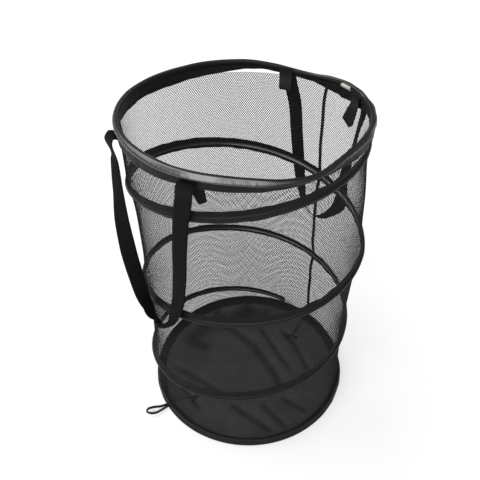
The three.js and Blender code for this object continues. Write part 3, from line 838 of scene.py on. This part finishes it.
# %% Spiral casing
def casing_offsets(away):
    """Outer and inner face of the band, from the net's own radius, by the distance up from the wire.
    A cover strip and the wire's ridge stand out over the net; above them the tape is behind it."""
    cover = 1 / (1 + np.exp((np.abs(away + 0.0006) - 0.0055) / 0.00028))
    ridge = np.exp(-((np.abs(away) / 0.0030) ** 2.4))
    outer = -0.00045 + cover * (0.0012 + 0.0024 * ridge)
    inner = -0.0013 - 0.0026 * np.exp(-((np.abs(away) / 0.0024) ** 2.4))
    return outer, inner


def spiral_casing():
    """The thin band's two faces, carried down the spiral by its turn. Its ends thin out."""
    turned = np.linspace(0, 1000, 1400)
    degrees = (SPIRAL_START - turned)[:, None]
    half = casing_half(turned)[:, None]
    across = np.concatenate([
        np.linspace(-1, -0.95, 2), np.linspace(-0.86, 0.3, 18), np.linspace(0.45, 0.95, 4), [1],
    ])
    outer, inner = casing_offsets(half * (across + RIDGE_DROP_SHARE))
    outer = -0.00045 + (outer + 0.00045) * np.clip(0.45 + 0.055 * turned[:, None], 0, 1)
    edge = np.abs(across) ** 3
    sway = 0.0004 * ripple(turned, 10, 60, 21)[:, None] * edge
    lift = 0.0005 * ripple(turned, 6, 40, 22)[:, None] * edge * np.sign(across)
    z = spiral_height(turned)[:, None] + half * across + lift
    net = wall_radius(degrees, z) + sway
    faces_out = np.concatenate([net + outer, (net + inner)[:, ::-1]], 1)
    level = np.concatenate([z, z[:, ::-1]], 1)
    rings = around(degrees, faces_out, level + rim_wave(degrees, level))
    points, groups, row, column = capped_rings(rings)
    girth = np.concatenate([across, across[::-1] + 4.9, [across[0] + 5.0]]) * CASING_HALF[0, 1]
    uv = ring_uv(row, column, girth, np.radians(turned) * WALL_RADIUS, groups[1:])
    return add_piece(
        "spiral_casing_tape", points, groups, casing_tape, "base", "tape", uv, stands_for=["spiral_casing"]
    )


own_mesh(spiral_casing())

# %% [markdown]
# ## The netting
#
# The net is real geometry, because light has to come through its holes. Yarns cross on a staggered
# lattice of angle and height. Each crossing is a small diamond of four points, and each yarn is a
# flat quad from the side of one crossing to the next, so the whole net is one connected sheet with
# openings. It is made as three panels to keep each mesh small.

# %% Netting
NET_COLUMNS = 624
NET_ROWS = 200
NET_FOOT = 0.0150
NET_TOP = 0.5830
YARN_WIDTH = 0.00102
NEAR_YARN = 0.56
KNOT_DEPTH = 0.0003
YARN_SHARE = 0.55


def netting_panel(first, last, name):
    """Crossings where row and column have the same parity, and the two yarns that climb from each."""
    rise = (NET_TOP - NET_FOOT) / NET_ROWS
    pitch = FULL_TURN * WALL_RADIUS / NET_COLUMNS
    slope = np.arctan2(rise, pitch)
    row, column = np.meshgrid(np.arange(NET_ROWS + 1), np.arange(first, last + 1), indexing="ij")
    here = (row + column) % 2 == 0
    number = np.full(row.shape, -1)
    number[here] = np.arange(here.sum()) * 4
    r, c = row[here], column[here]
    front = 0.5 - 0.5 * np.sin(np.radians(c * 360 / NET_COLUMNS + PHOTO_TURN))
    width = YARN_WIDTH * (1 + (NEAR_YARN - 1) * front)
    half_across = width / 2 / np.sin(slope) / pitch
    half_up = width / 2 / np.cos(slope) / rise
    corner_row = np.stack([r, r - half_up, r, r + half_up], -1).ravel()
    corner_column = np.stack([c - half_across, c + 0.0 * c, c + half_across, c + 0.0 * c], -1).ravel()
    degrees = corner_column * 360 / NET_COLUMNS
    z = NET_FOOT + corner_row * rise
    z_bent = z + rim_wave(degrees, z)
    knot = np.tile([-KNOT_DEPTH, KNOT_DEPTH, -KNOT_DEPTH, KNOT_DEPTH], len(r))
    points = around(degrees, wall_radius(degrees, z) + knot, z_bent)
    inside = here & (column < last)
    start = number[inside]
    knots = np.column_stack([start, start + 1, start + 2, start + 3])
    climbs = here[:-1, :-1]
    low, high = number[:-1, :-1][climbs], number[1:, 1:][climbs]
    right_yarns = np.column_stack([low + 2, high + 1, high, low + 3])
    climbs = here[:-1, 1:]
    low, high = number[:-1, 1:][climbs], number[1:, :-1][climbs]
    left_yarns = np.column_stack([low, low + 3, high + 2, high + 1])
    panel = add_piece(
        name, points, [knots, right_yarns, left_yarns], netting_yarn, "base", "netting",
        closed=False, smooth=False, stands_for=["netting_wall"],
    )
    width = (last - first) / NET_COLUMNS * FULL_TURN * WALL_RADIUS
    length = NET_TOP - NET_FOOT
    # The net is mostly holes, so the area given is about that of its yarns, not that of the cut.
    YARN_SHARE * width * length
    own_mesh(panel)
    return panel


third = NET_COLUMNS // 3
for k, name in enumerate(("netting_front_right", "netting_back", "netting_front_left")):
    panel = netting_panel(k * third, (k + 1) * third, name)
    print(name, len(panel.data.polygons), "faces")

# %% [markdown]
# ## The side seam
#
# The net is a flat piece closed into a tube by one overlocked seam. It shows as a narrow dark
# line with a braided look, so a thin strip carries a thread that zigzags over it all the way.

# %% Side seam
SEAM_SWING = 0.0034
THREAD_RADIUS = 0.0007


def seam_stray(z):
    """How far the seam wanders from a plumb line, in degrees: an uneven wave of height."""
    return 0.35 * ripple(z * 600, 3, 14, 31) * 0.5


def side_seam():
    """A flat oval section carried up the wall along the wandering line."""
    z = np.linspace(NET_FOOT, NET_TOP, 160)
    across = np.array([-1, -0.6, 0, 0.6, 1, 1, 0.6, 0, -0.6, -1]) * 0.0035
    deep = np.array([0, 1, 1.2, 1, 0, -0.4, -0.6, -0.7, -0.6, -0.4]) * 0.0009
    degrees = np.degrees(across / WALL_RADIUS)[None] + seam_stray(z)[:, None]
    radius = wall_radius(degrees, z[:, None]) + 0.0004 + deep
    rings = around(degrees, radius, z[:, None] + rim_wave(degrees, z[:, None]))
    points, groups, row, column = capped_rings(rings)
    uv = ring_uv(row, column, np.linspace(0, 0.016, 11), z, groups[1:])
    return add_piece(
        "side_seam_strip", points, groups, body_tape, "base", "tape", uv, stands_for=["side_seam_tape"]
    )


def seam_zigzag():
    """A thin tube whose path swings across the seam as the sine of a quarter turn a step."""
    steps = 420
    z = np.linspace(NET_FOOT + 0.002, NET_TOP - 0.002, steps)
    swing = np.sin(np.arange(steps) * np.pi / 2) * SEAM_SWING
    degrees = np.degrees(swing / WALL_RADIUS) + seam_stray(z)
    radius = wall_radius(degrees, z) + 0.0016
    path = around(degrees, radius, z + rim_wave(degrees, z))
    along = unit(np.gradient(path, axis=0))
    out = around(degrees, 1.0, 0.0)
    side = unit(np.cross(along, out))
    turn = np.linspace(0, FULL_TURN, 5, endpoint=False)[:, None]
    rings = path[:, None] + THREAD_RADIUS * (np.cos(turn) * side[:, None] + np.sin(turn) * out[:, None])
    points, groups, row, column = capped_rings(rings)
    return add_piece("side_seam_thread", points, groups, seam_braid, "base", "netting")


for piece in (side_seam(), seam_zigzag()):
    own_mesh(piece)

# %% [markdown]
# ## The base panel
#
# A disc of woven cloth lies on the floor inside the base band. It isn't flat: it has soft folds
# from being packed away. Height is a sum of long low ridges, each a bell curve of the distance
# from a line, faded out at the edge and under the toggles, with shade painted along each one. The
# last line is wide and nearly flat: it only paints shade onto the cloth at the back.

# %% Base panel
PANEL_RADIUS = 0.1872
PANEL_CREASES = [
    ([(39, 130), (40, 91), (42, 27), (34, -13), (24, -54), (8, -98)], 12, 3.6),
    ([(92, 60), (87, 41), (61, -41), (53, -75)], 8, 2.4),
    ([(120, 20), (110, -37), (95, -69), (80, -104)], 8, 2.6),
    ([(-124, 108), (-119, 95), (-103, 33), (-95, -13), (-96, -40)], 9, 2.6),
    ([(-97, -50), (-95, -65), (-84, -125), (-80, -152)], 9, 3.0),
    ([(-50, -92), (-51, -106), (-54, -168)], 8, 2.8),
    ([(-48, 124), (-31, 92)], 13, 2.2),
    ([(66, 178), (35, 140)], 15, 2.8),
    ([(122, 142), (96, 86)], 15, 2.8),
    ([(-10, -110), (2, -168)], 8, 2.0),
    ([(-140, 60), (-150, -20)], 7, 1.6),
    # Wide and nearly flat: a band of painted shade on the cloth at the back.
    ([(-70, 140), (10, 152), (90, 122), (140, 70)], 26, 0.6),
]
TOGGLE_CLEAR = [(0.122, -0.010, 0.019), (-0.137, 0.011, 0.018), (0.155, 0, 0.011), (-0.16, 0.028, 0.011)]


def beside_line(x, y, line):
    """Signed distance from a line of points and a taper at its ends. The nearest of its segments counts,
    and the sign is positive on the right of the way it runs."""
    marks = np.array(line) / 1000
    start, run = marks[:-1, :, None], np.diff(marks, axis=0)[:, :, None]
    length = np.hypot(run[:, 0], run[:, 1])
    share = ((x - start[:, 0]) * run[:, 0] + (y - start[:, 1]) * run[:, 1]) / length**2
    near = np.clip(share, 0, 1)
    off_x, off_y = x - start[:, 0] - near * run[:, 0], y - start[:, 1] - near * run[:, 1]
    side = np.sign(off_x * -run[:, 1] + off_y * run[:, 0]) * -np.hypot(off_x, off_y)
    nearest = np.hypot(off_x, off_y).argmin(0)
    at = np.arange(len(x))
    before = np.concatenate([[0], np.cumsum(length[:, 0])])
    along = before[:-1][nearest] + share[nearest, at] * length[nearest, 0]
    end = np.clip(np.minimum(along, before[-1] - along) / 0.022 + 0.4, 0, 1)
    return side[nearest, at], end * end * (3 - 2 * end)


def panel_relief(x, y):
    """Height and painted shade: each crease rises gently to a ridge, painted lighter, and falls off steeply
    on its far side, where shade is painted darker. Both fade out at the rim of the panel, and the height also
    under the toggles."""
    z = 0.0005 * (np.sin(37 * x + 21 * y) + np.sin(29 * y - 33 * x + 1.3))
    shade = np.zeros(len(x))
    for line, wide, high in PANEL_CREASES:
        away, taper = beside_line(x, y, line)
        away = away / (wide / 1000)
        ridge = np.exp(-((away + 1) ** 2) * np.where(away < -1, 0.35, 1.0))
        z = z + high / 1000 * ridge * taper
        # Painted shade on the steep far side of each crease, and a painted highlight on its ridge.
        shade = shade + taper * (0.35 * ridge - 1.25 * np.exp(-((away - 0.1) ** 2) * 1.4))
    fade = np.clip((PANEL_RADIUS - np.hypot(x, y)) / 0.016, 0, 1)
    clear = 1.0
    for near_x, near_y, reach in TOGGLE_CLEAR:
        clear = clear * np.clip((np.hypot(x - near_x, y - near_y) - reach) / 0.014, 0, 1)
    return np.maximum(z, 0) * fade * clear, np.clip(shade, -1.2, 0.6) * fade


def base_panel():
    """A disc of rings and spokes, raised by panel_relief, with a second layer under it."""
    turn = np.radians(np.arange(360))
    radius = np.concatenate([[0.0008], np.linspace(0.004, PANEL_RADIUS, 74)])
    x, y = radius[:, None] * np.cos(turn), radius[:, None] * np.sin(turn)
    height, shade = [values.reshape(x.shape) for values in panel_relief(x.ravel(), y.ravel())]
    top = np.stack([x, y, 0.0012 + height], -1)
    under = top - [0, 0, 0.0009]
    rings = np.concatenate([under, top[::-1]])
    points, groups, row, column = capped_rings(rings)
    flat = points[:, :2]
    uv = [flat[faces] for faces in groups]
    piece = add_piece(
        "base_panel_cloth", points, groups, panel_cloth, "base", "panel", uv, stands_for=["base_panel"]
    )
    # The painted crease shade and ridge highlight go to the cloth's shader as a point attribute.
    painted_crease_attribute = piece.data.attributes.new("PaintedCreaseShading", "FLOAT", "POINT")
    values = np.concatenate([shade, shade[::-1]]).ravel()
    painted_crease_attribute.data.foreach_set("value", np.concatenate([values, values[[0, -1]]]).astype(np.float32))
    return piece


panel = base_panel()

# %% [markdown]
# ## The carrying handles
#
# Each handle is one length of flat webbing. It is sewn to the rim band, folds over and hangs down
# the outside in a long loop. The path is a smooth curve through marks of angle, height and
# distance from the wall, and the webbing's flat section is carried along it. The short fold at
# each end is a piece of its own between the rim and the handle. The loop crumples when the hamper is pushed
# down.

# %% Webbing along a path
WEBBING_WIDTH = 0.025
WEBBING_THICK = 0.0016


def webbing_rings(path, across, width, cup):
    """A flat section with round edges, carried along the path. cup bows it across its width."""
    along = unit(np.gradient(path, axis=0))
    across = unit(across - along * np.einsum("ij,ij->i", across, along)[:, None])
    through = np.cross(along, across)
    face = np.linspace(-1, 1, 9)
    x = np.concatenate([face, face[::-1]])
    lift = np.concatenate([np.ones(9), -np.ones(9)]) * WEBBING_THICK / 2
    lift[[0, 8, 9, 17]] *= 0.55
    width = np.broadcast_to(width, len(path))[:, None]
    cup = np.broadcast_to(cup, len(path))[:, None]
    sideways = x * width / 2
    depth = lift + cup * (x**2 - 0.4)
    return path[:, None] + sideways[..., None] * across[:, None] + depth[..., None] * through[:, None]


def webbing_piece(name, rings, from_end, body, stands_for=()):
    """Rings made a piece. Its v is the distance from the nearer end of the whole strap."""
    points, groups, row, column = capped_rings(rings)
    face = np.linspace(-1, 1, 9) * WEBBING_WIDTH / 2
    girth = np.concatenate([face, face[::-1], face[:1]])
    uv = ring_uv(row, column, girth, from_end, groups[1:])
    return add_piece(name, points, groups, webbing, body, "webbing", uv, stands_for=stands_for)


# %% Handle paths
STRAP_FACE = WALL_RADIUS + 0.0026
STRAIGHT_ARM = np.array([
    [1, 0, -0.12, 0], [1, -0.01, 0.12, 0], [1, -0.016, 0.45, 0], [1, -0.004, 0.8, 0], [0.96, 0.06, 0.72, 0],
    [0.86, 0.17, 0.38, 0], [0.76, 0.36, 0.27, 0.02], [0.67, 0.6, 0.25, 0.06], [0.56, 0.79, 0.25, 0.2],
    [0.4, 0.91, 0.22, 0.55], [0.2, 0.98, 0.2, 0.9],
])
LOOSE_ARM = np.array([
    [1, 0, -0.12, 0], [1, -0.01, 0.12, 0.05], [1, -0.016, 0.45, 0.12], [0.99, -0.002, 0.7, 0.2],
    [0.94, 0.11, 0.55, 0.35], [0.85, 0.28, 0.66, 0.48], [0.74, 0.43, 0.66, 0.66], [0.61, 0.58, 0.52, 0.76],
    [0.42, 0.74, 0.4, 0.82], [0.18, 0.91, 0.32, 0.9], [0, 0.985, 0.27, 0.97],
])
HANGING_ARMS = [
    np.concatenate([STRAIGHT_ARM[:4], [
        [0.96, 0.06, 0.72, -0.1], [0.87, 0.17, 0.42, -0.3], [0.77, 0.36, 0.3, -0.32],
        [0.67, 0.54, 0.25, -0.05], [0.64, 0.67, 0.25, 0.2], [0.52, 0.79, 0.25, 0.6],
        [0.38, 0.865, 0.22, 0.85], [0.15, 0.945, 0.2, 0.98],
    ]]),
    np.concatenate([STRAIGHT_ARM[:4], [
        [0.94, 0.06, 0.72, 0], [0.81, 0.18, 0.38, 0], [0.73, 0.38, 0.27, 0.02], [0.64, 0.6, 0.25, 0.06],
        [0.55, 0.82, 0.25, 0.35], [0.47, 0.95, 0.22, 0.7], [0.28, 1, 0.2, 0.95],
    ]]),
]
HALF_ANGLE = 25.0
STRAP_DROP = 0.294
STAND_OFF = 0.011
SEWN_DEPTH = 0.019
TWIST_SCALE = 0.001


def handle_marks(low_arm, high_arm, bottom):
    """Distance round the wall, depth, stand-off and twist: one arm down, the bottom, the other arm up."""
    shares = np.concatenate([low_arm, [bottom], high_arm[::-1] * [-1, 1, 1, 1]])
    scale = [-np.radians(HALF_ANGLE) * WALL_RADIUS, STRAP_DROP, STAND_OFF, TWIST_SCALE]
    return shares * scale + [0, SEWN_DEPTH, 0, 0]


def handle_strap(side, middle, low_arm, high_arm, bottom, bottom_tilt):
    """The webbing's width starts along the wall and turns by a quarter at the bottom, where it leans by
    the tilt. Its middle stands off by half the width times how far that direction points outwards."""
    turned_away, depth, stand, twist = smooth_curve(handle_marks(low_arm, high_arm, bottom), 300).T
    twist = np.clip(twist / TWIST_SCALE, -1, 1) * np.pi / 2
    degrees = middle + np.degrees(turned_away / WALL_RADIUS)
    out, tangent = around(degrees, 1.0, 0.0), around(degrees + 90, 1.0, 0.0)
    up = np.array([0, 0, 1.0])
    along = unit(
        tangent * np.gradient(turned_away)[:, None] + out * np.gradient(stand)[:, None]
        - up * np.gradient(depth)[:, None]
    )
    tilt = np.radians(bottom_tilt)
    across = (
        tangent * (np.sign(turned_away) * np.cos(twist))[:, None]
        + (out * np.cos(tilt) + up * np.sin(tilt)) * np.sin(twist)[:, None]
    )
    across = unit(across - along * np.einsum("ij,ij->i", across, along)[:, None])
    reach = WEBBING_WIDTH / 2 * np.abs(np.einsum("ij,ij->i", across, out))
    z = HEIGHT - depth
    path = around(degrees, STRAP_FACE + stand + reach, z + rim_wave(degrees, z))
    rings = webbing_rings(path, across, WEBBING_WIDTH, 0.0010 * np.sin(twist * 2))
    length = arc_length(path)
    from_end = np.minimum(length, length[-1] - length)
    root = int(np.argmax(depth > SEWN_DEPTH + 0.012))
    back_root = len(path) - int(np.argmax(depth[::-1] > SEWN_DEPTH + 0.012))
    for end, cut in (("low", slice(0, root)), ("high", slice(back_root, len(path)))):
        piece = webbing_piece(f"{side}_strap_{end}_fold", rings[cut], from_end[cut], None)
        inner = path[cut][0] if end == "low" else path[cut][-1]
        flat_out = np.array([inner[0], 0, 0]) / abs(inner[0])
        inner + flat_out * 0.001
        inner + flat_out * 0.0085
        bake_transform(piece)
    body = slice(root - 1, back_root + 1)
    loop = webbing_piece(
        f"{side}_strap_loop", rings[body], from_end[body], f"{side}_handle",
        stands_for=[f"{side}_handle_strap"],
    )
    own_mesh(loop)
    print(side, "strap is", round(float(length[-1]), 3), "m long")


handle_strap("right", 0.0, *HANGING_ARMS, [0, 0.985, 0.2, 1], -45.0)
handle_strap("left", 180.0, LOOSE_ARM, STRAIGHT_ARM, [-0.12, 1, 0.26, 1], 60.0)

# %% [markdown]
# ## Webbing tails
#
# Inside the mouth, the cut ends of the webbing hang below the rim band. Each is a short grid whose
# lower edge is cut on the slant, curled a little away from the net.

# %% Tails
def tail(name, degrees, length, cut, point, skew, curl, fan, stands_for):
    """Rows go down the tail. cut drops one corner below the other, point lifts both from the middle, curl
    grows as depth squared, and fan swings one edge in towards the middle of the mouth."""
    down = np.linspace(0, 1, 16)
    face = np.linspace(-1, 1, 9)
    x = np.concatenate([face, face[::-1]])
    long = length + cut * x - point * np.abs(x)
    depth = down[:, None] * long
    t = down[:, None]
    side = x * WEBBING_WIDTH / 2 * (1 - 0.1 * t) + skew * t * t
    lift = np.concatenate([np.ones(9), -np.ones(9)]) * WEBBING_THICK / 2
    lift[[0, 8, 9, 17]] *= 0.55
    z = 0.5967 - depth
    angle = degrees + np.degrees(side / WALL_RADIUS)
    stand = curl * t * t + 0.003 * t * t * x**2 + fan * np.clip(t * 2.2 - 0.9, 0, 1) * (1 + x) / 2
    radius = WALL_RADIUS - 0.0056 - stand + lift
    rings = around(angle, radius, z + rim_wave(angle, z))
    points, groups, row, column = capped_rings(rings)
    girth = np.concatenate([face, face[::-1], face[:1]]) * WEBBING_WIDTH / 2
    uv = ring_uv(row, column, girth, down * length, groups[1:])
    return add_piece(name, points, groups, webbing_ends, "rim", "webbing", uv, stands_for=stands_for)


tail("right_front_tail_end", -24.5, 0.061, -0.003, 0.011, 0.001, 0.003, 0.008, ["right_handle_front_tail"])
tail("right_back_tail_end", 24.6, 0.038, -0.003, 0, -0.002, 0.004, 0.003, ["right_handle_back_tail"])
tail("left_front_tail_end", 206.8, 0.050, 0.006, 0.010, 0.003, 0.002, 0, ["left_handle_front_tail"])
tail("left_back_tail_end", 155.0, 0.038, -0.005, 0, 0.004, 0.004, 0, ["left_handle_back_tail"])

# %% [markdown]
# ## Closure loops
#
# A narrow loop of elastic stands out from the foot on each side. It lies on its edge, so it is the
# same flat section carried round a leaf-shaped path.

# %% Elastic loops
LOOP_SHARES = np.array([[0, 0.3], [0.3, 0.55], [0.62, 1], [0.88, 0.8], [1, 0]])
LOOP_ROOT = 0.19495
LOOP_LONG = 0.043
LOOP_WIDE = 0.0145
LOOP_BAND = 0.0066
LOOP_THICK = 0.0023
LOOP_RISE = 0.0052
LOOP_BEND = -0.006


def closure_loop(side, degrees):
    """A flat band on its edge, round a leaf given by shares of length and width. It rises and bends as
    the square of its length's share."""
    out, across = around(degrees, 1.0, 0.0), around(degrees + 90, 1.0, 0.0)
    shares = np.concatenate([LOOP_SHARES, LOOP_SHARES[-2::-1] * [1, -1]])
    rise = LOOP_RISE * shares[:, :1] ** 2 * np.array([[0, 0, 1.0]])
    bend = LOOP_BEND * shares[:, :1] ** 2
    marks = out * (LOOP_ROOT + shares[:, :1] * LOOP_LONG) + rise
    marks = marks + across * (shares[:, 1:] * LOOP_WIDE / 2 + bend)
    path = smooth_curve(marks, 90) + [0, 0, 0.0003 + LOOP_BAND / 2]
    along = unit(np.gradient(path, axis=0))
    up = np.array([0, 0, 1.0])
    through = np.cross(along, up)
    face = np.linspace(-1, 1, 7)
    x = np.concatenate([face, face[::-1]]) * LOOP_BAND / 2
    lift = np.concatenate([np.ones(7), -np.ones(7)]) * LOOP_THICK / 2
    lift[[0, 6, 7, 13]] *= 0.5
    rings = path[:, None] + x[:, None] * up + lift[:, None] * through[:, None]
    points, groups, row, column = capped_rings(rings)
    girth = np.concatenate([face, face[::-1], face[:1]]) * LOOP_BAND / 2
    uv = ring_uv(row, column, girth, arc_length(path), groups[1:])
    return add_piece(
        f"{side}_elastic_loop", points, groups, elastic, f"{side}_closure", "elastic", uv,
        stands_for=[f"{side}_closure_loop"],
    )


closure_loop("right", 4.0)
closure_loop("left", 170.0)

# %% [markdown]
# ## Stitching
#
# Rows of lockstitch hold every tape. One stitch is a short bead of five rings, and thousands of
# copies are placed at once: each copy needs only a middle, a direction along the seam and the
# direction that the cloth faces.

# %% Stitches
STITCH_LONG = 0.0026
STITCH_PITCH = 0.0037


def stitches(name, middle, along, out, body, squash=False):
    """Copies of one bead: five rings of four points, thin at both ends, bowed up off the cloth."""
    t = np.linspace(-1, 1, 5)
    fat = np.sqrt(np.clip(1 - t**2 * 0.92, 0, 1)) * 0.00042
    turn = np.radians([0, 90, 180, 270])
    bead = np.stack([
        np.broadcast_to((t * STITCH_LONG / 2)[:, None], (5, 4)),
        fat[:, None] * np.cos(turn),
        fat[:, None] * np.sin(turn) * 0.8 + (0.00012 * (1 - t**2))[:, None],
    ], -1).reshape(-1, 3)
    side = np.cross(out, along)
    points = middle[:, None] + np.einsum("pk,nkc->npc", bead, np.stack([along, side, out], 1))
    faces, _, _ = grid(5, 4, close_columns=True)
    ends = np.array([[3, 2, 1, 0], [16, 17, 18, 19]])
    faces = np.concatenate([faces, ends])
    many = faces[None] + (np.arange(len(middle)) * 20)[:, None, None]
    piece = add_piece(name, points, [many.reshape(-1, 4)], seam_thread, body, "netting")
    if squash:
        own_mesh(piece)
    return piece


def seam_round(radius, z, degrees):
    """Middles, directions along and directions out for stitches on a ring or a spiral."""
    path = around(degrees, radius, z)
    return path, unit(np.gradient(path, axis=0)), around(degrees, 1.0, 0.0)


stitch_degrees = np.arange(0, 360, np.degrees(STITCH_PITCH / WALL_RADIUS))
drop, lean, depth, flat, wrinkle = rim_shape(stitch_degrees)
rim_seam_z = RIM_WIRE_Z - (drop + 0.85 * depth) / 1000
rim_seam_z = rim_seam_z + rim_wave(stitch_degrees, rim_seam_z) - 0.0003 * ripple(stitch_degrees, 12, 50, 6)
slow, quick = rim_sway(stitch_degrees)
for label, offset in (("outer", 0.0020), ("inner", -0.0020)):
    across = 0.003 if offset > 0 else 0.037
    crease = 0.0003 * (wrinkle - 1) * np.sin(np.radians(stitch_degrees * 9) + across * 900)
    strayed = slow + quick * 0.85 * wrinkle + 0.15 * lean / 1000 + crease * np.sign(offset)
    path, along, out = seam_round(WALL_RADIUS + offset + strayed, rim_seam_z, stitch_degrees)
    stitches(f"rim_{label}_stitches", path, along, out * np.sign(offset), "rim")
    sway = 0.0003 * ripple(stitch_degrees, 14, 60, 12)
    level = 0.0142 + 0 * stitch_degrees
    path, along, out = seam_round(WALL_RADIUS + offset * 0.87 + sway, level, stitch_degrees)
    stitches(f"base_{label}_stitches", path, along, out * np.sign(offset), "base")
turned = np.arange(1, 999, np.degrees(STITCH_PITCH / WALL_RADIUS))
for label, away in (("upper", 0.0046), ("lower", -0.0056)):
    outer, inner = casing_offsets(np.array(away))
    for face, offset in (("outer", outer), ("inner", inner)):
        z = ridge_height(turned) + away
        degrees = SPIRAL_START - turned
        radius = wall_radius(degrees, z) + offset
        path, along, out = seam_round(radius, z + rim_wave(degrees, z), degrees)
        stitches(f"casing_{label}_{face}_stitches", path, along, out * np.sign(offset), "base", squash=True)

# %% [markdown]
# ## Carried-over nodes
#
# A few hidden solids stay as they are and only need a finish: the base hoop and its ferrule.

# %% Finishes on the solids that stay
for node, finish in (("base_hoop", spring_steel), ("base_hoop_ferrule", spring_steel)):
    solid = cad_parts[node]
    for material_slot in solid.material_slots:
        material_slot.material = finish

# %% [markdown]
# ## Floor, light and background
#
# The photograph is on pure white with a soft grey shadow at the foot. The floor is a plain white
# sheet, and the light level is set so that white renders just below white: an even dome of light
# from the world, and four broad lamps behind and to the left to give the shadow a side.

# %% Stage and light
def floor_finish():
    """White paper for the lamps; for the camera's rays alone it is lifted to a clean white."""
    finish = Finish("white_floor")
    paper = finish.node("ShaderNodeBsdfDiffuse", {}, Color=(0.93, 0.93, 0.93, 1))
    glow = finish.node("ShaderNodeEmission", {}, Color=(1, 1, 1, 1), Strength=0.5)
    path = finish.node("ShaderNodeLightPath", {})
    seen = finish.node("ShaderNodeBsdfDiffuse", {}, Color=(0.62, 0.62, 0.62, 1))
    both = finish.node("ShaderNodeAddShader", {}, seen, glow)
    shader = finish.node("ShaderNodeMixShader", {}, path, paper, both)
    finish.node("ShaderNodeOutputMaterial", {}, shader)
    return finish.material


def stage():
    """One large flat square, just under the hamper's foot."""
    points = np.array([[-12, -12, 0], [12, -12, 0], [12, 12, 0], [-12, 12, 0]], float)
    mesh = bpy.data.meshes.new("floor")
    mesh.from_pydata(points.tolist(), [], [[0, 1, 2, 3]])
    mesh.materials.append(floor_finish())
    floor = bpy.data.objects.new("floor", mesh)
    floor.location.z = -0.0003
    bpy.context.scene.collection.objects.link(floor)


LAMPS = [
    ("far_left_softbox", (0.46, -0.62, -0.64), 0.95, 46.0),
    ("left_softbox", (0.72, 0.12, -0.69), 0.95, 36.0),
    ("near_left_softbox", (0.32, 0.62, -0.72), 0.7, 32.0),
    ("far_softbox", (-0.20, -0.66, -0.72), 0.45, 26.0),
]


def light():
    """An even world, and lamps given by the direction of their light, their strength and their spread."""
    world = bpy.data.worlds.new("studio")
    world.use_nodes = True
    background = world.node_tree.nodes["Background"]
    background.inputs["Color"].default_value = (1, 1, 1, 1)
    background.inputs["Strength"].default_value = 0.3
    bpy.context.scene.world = world
    for name, aim, energy, spread in LAMPS:
        lamp = bpy.data.lights.new(name, "SUN")
        lamp.energy = energy
        lamp.angle = np.radians(spread)
        holder = bpy.data.objects.new(name, lamp)
        holder.rotation_mode = "QUATERNION"
        holder.rotation_quaternion = Vector(aim).to_track_quat("-Z", "Y")
        bpy.context.scene.collection.objects.link(holder)


stage()
light()
bpy.context.scene.view_settings.view_transform = "Standard"
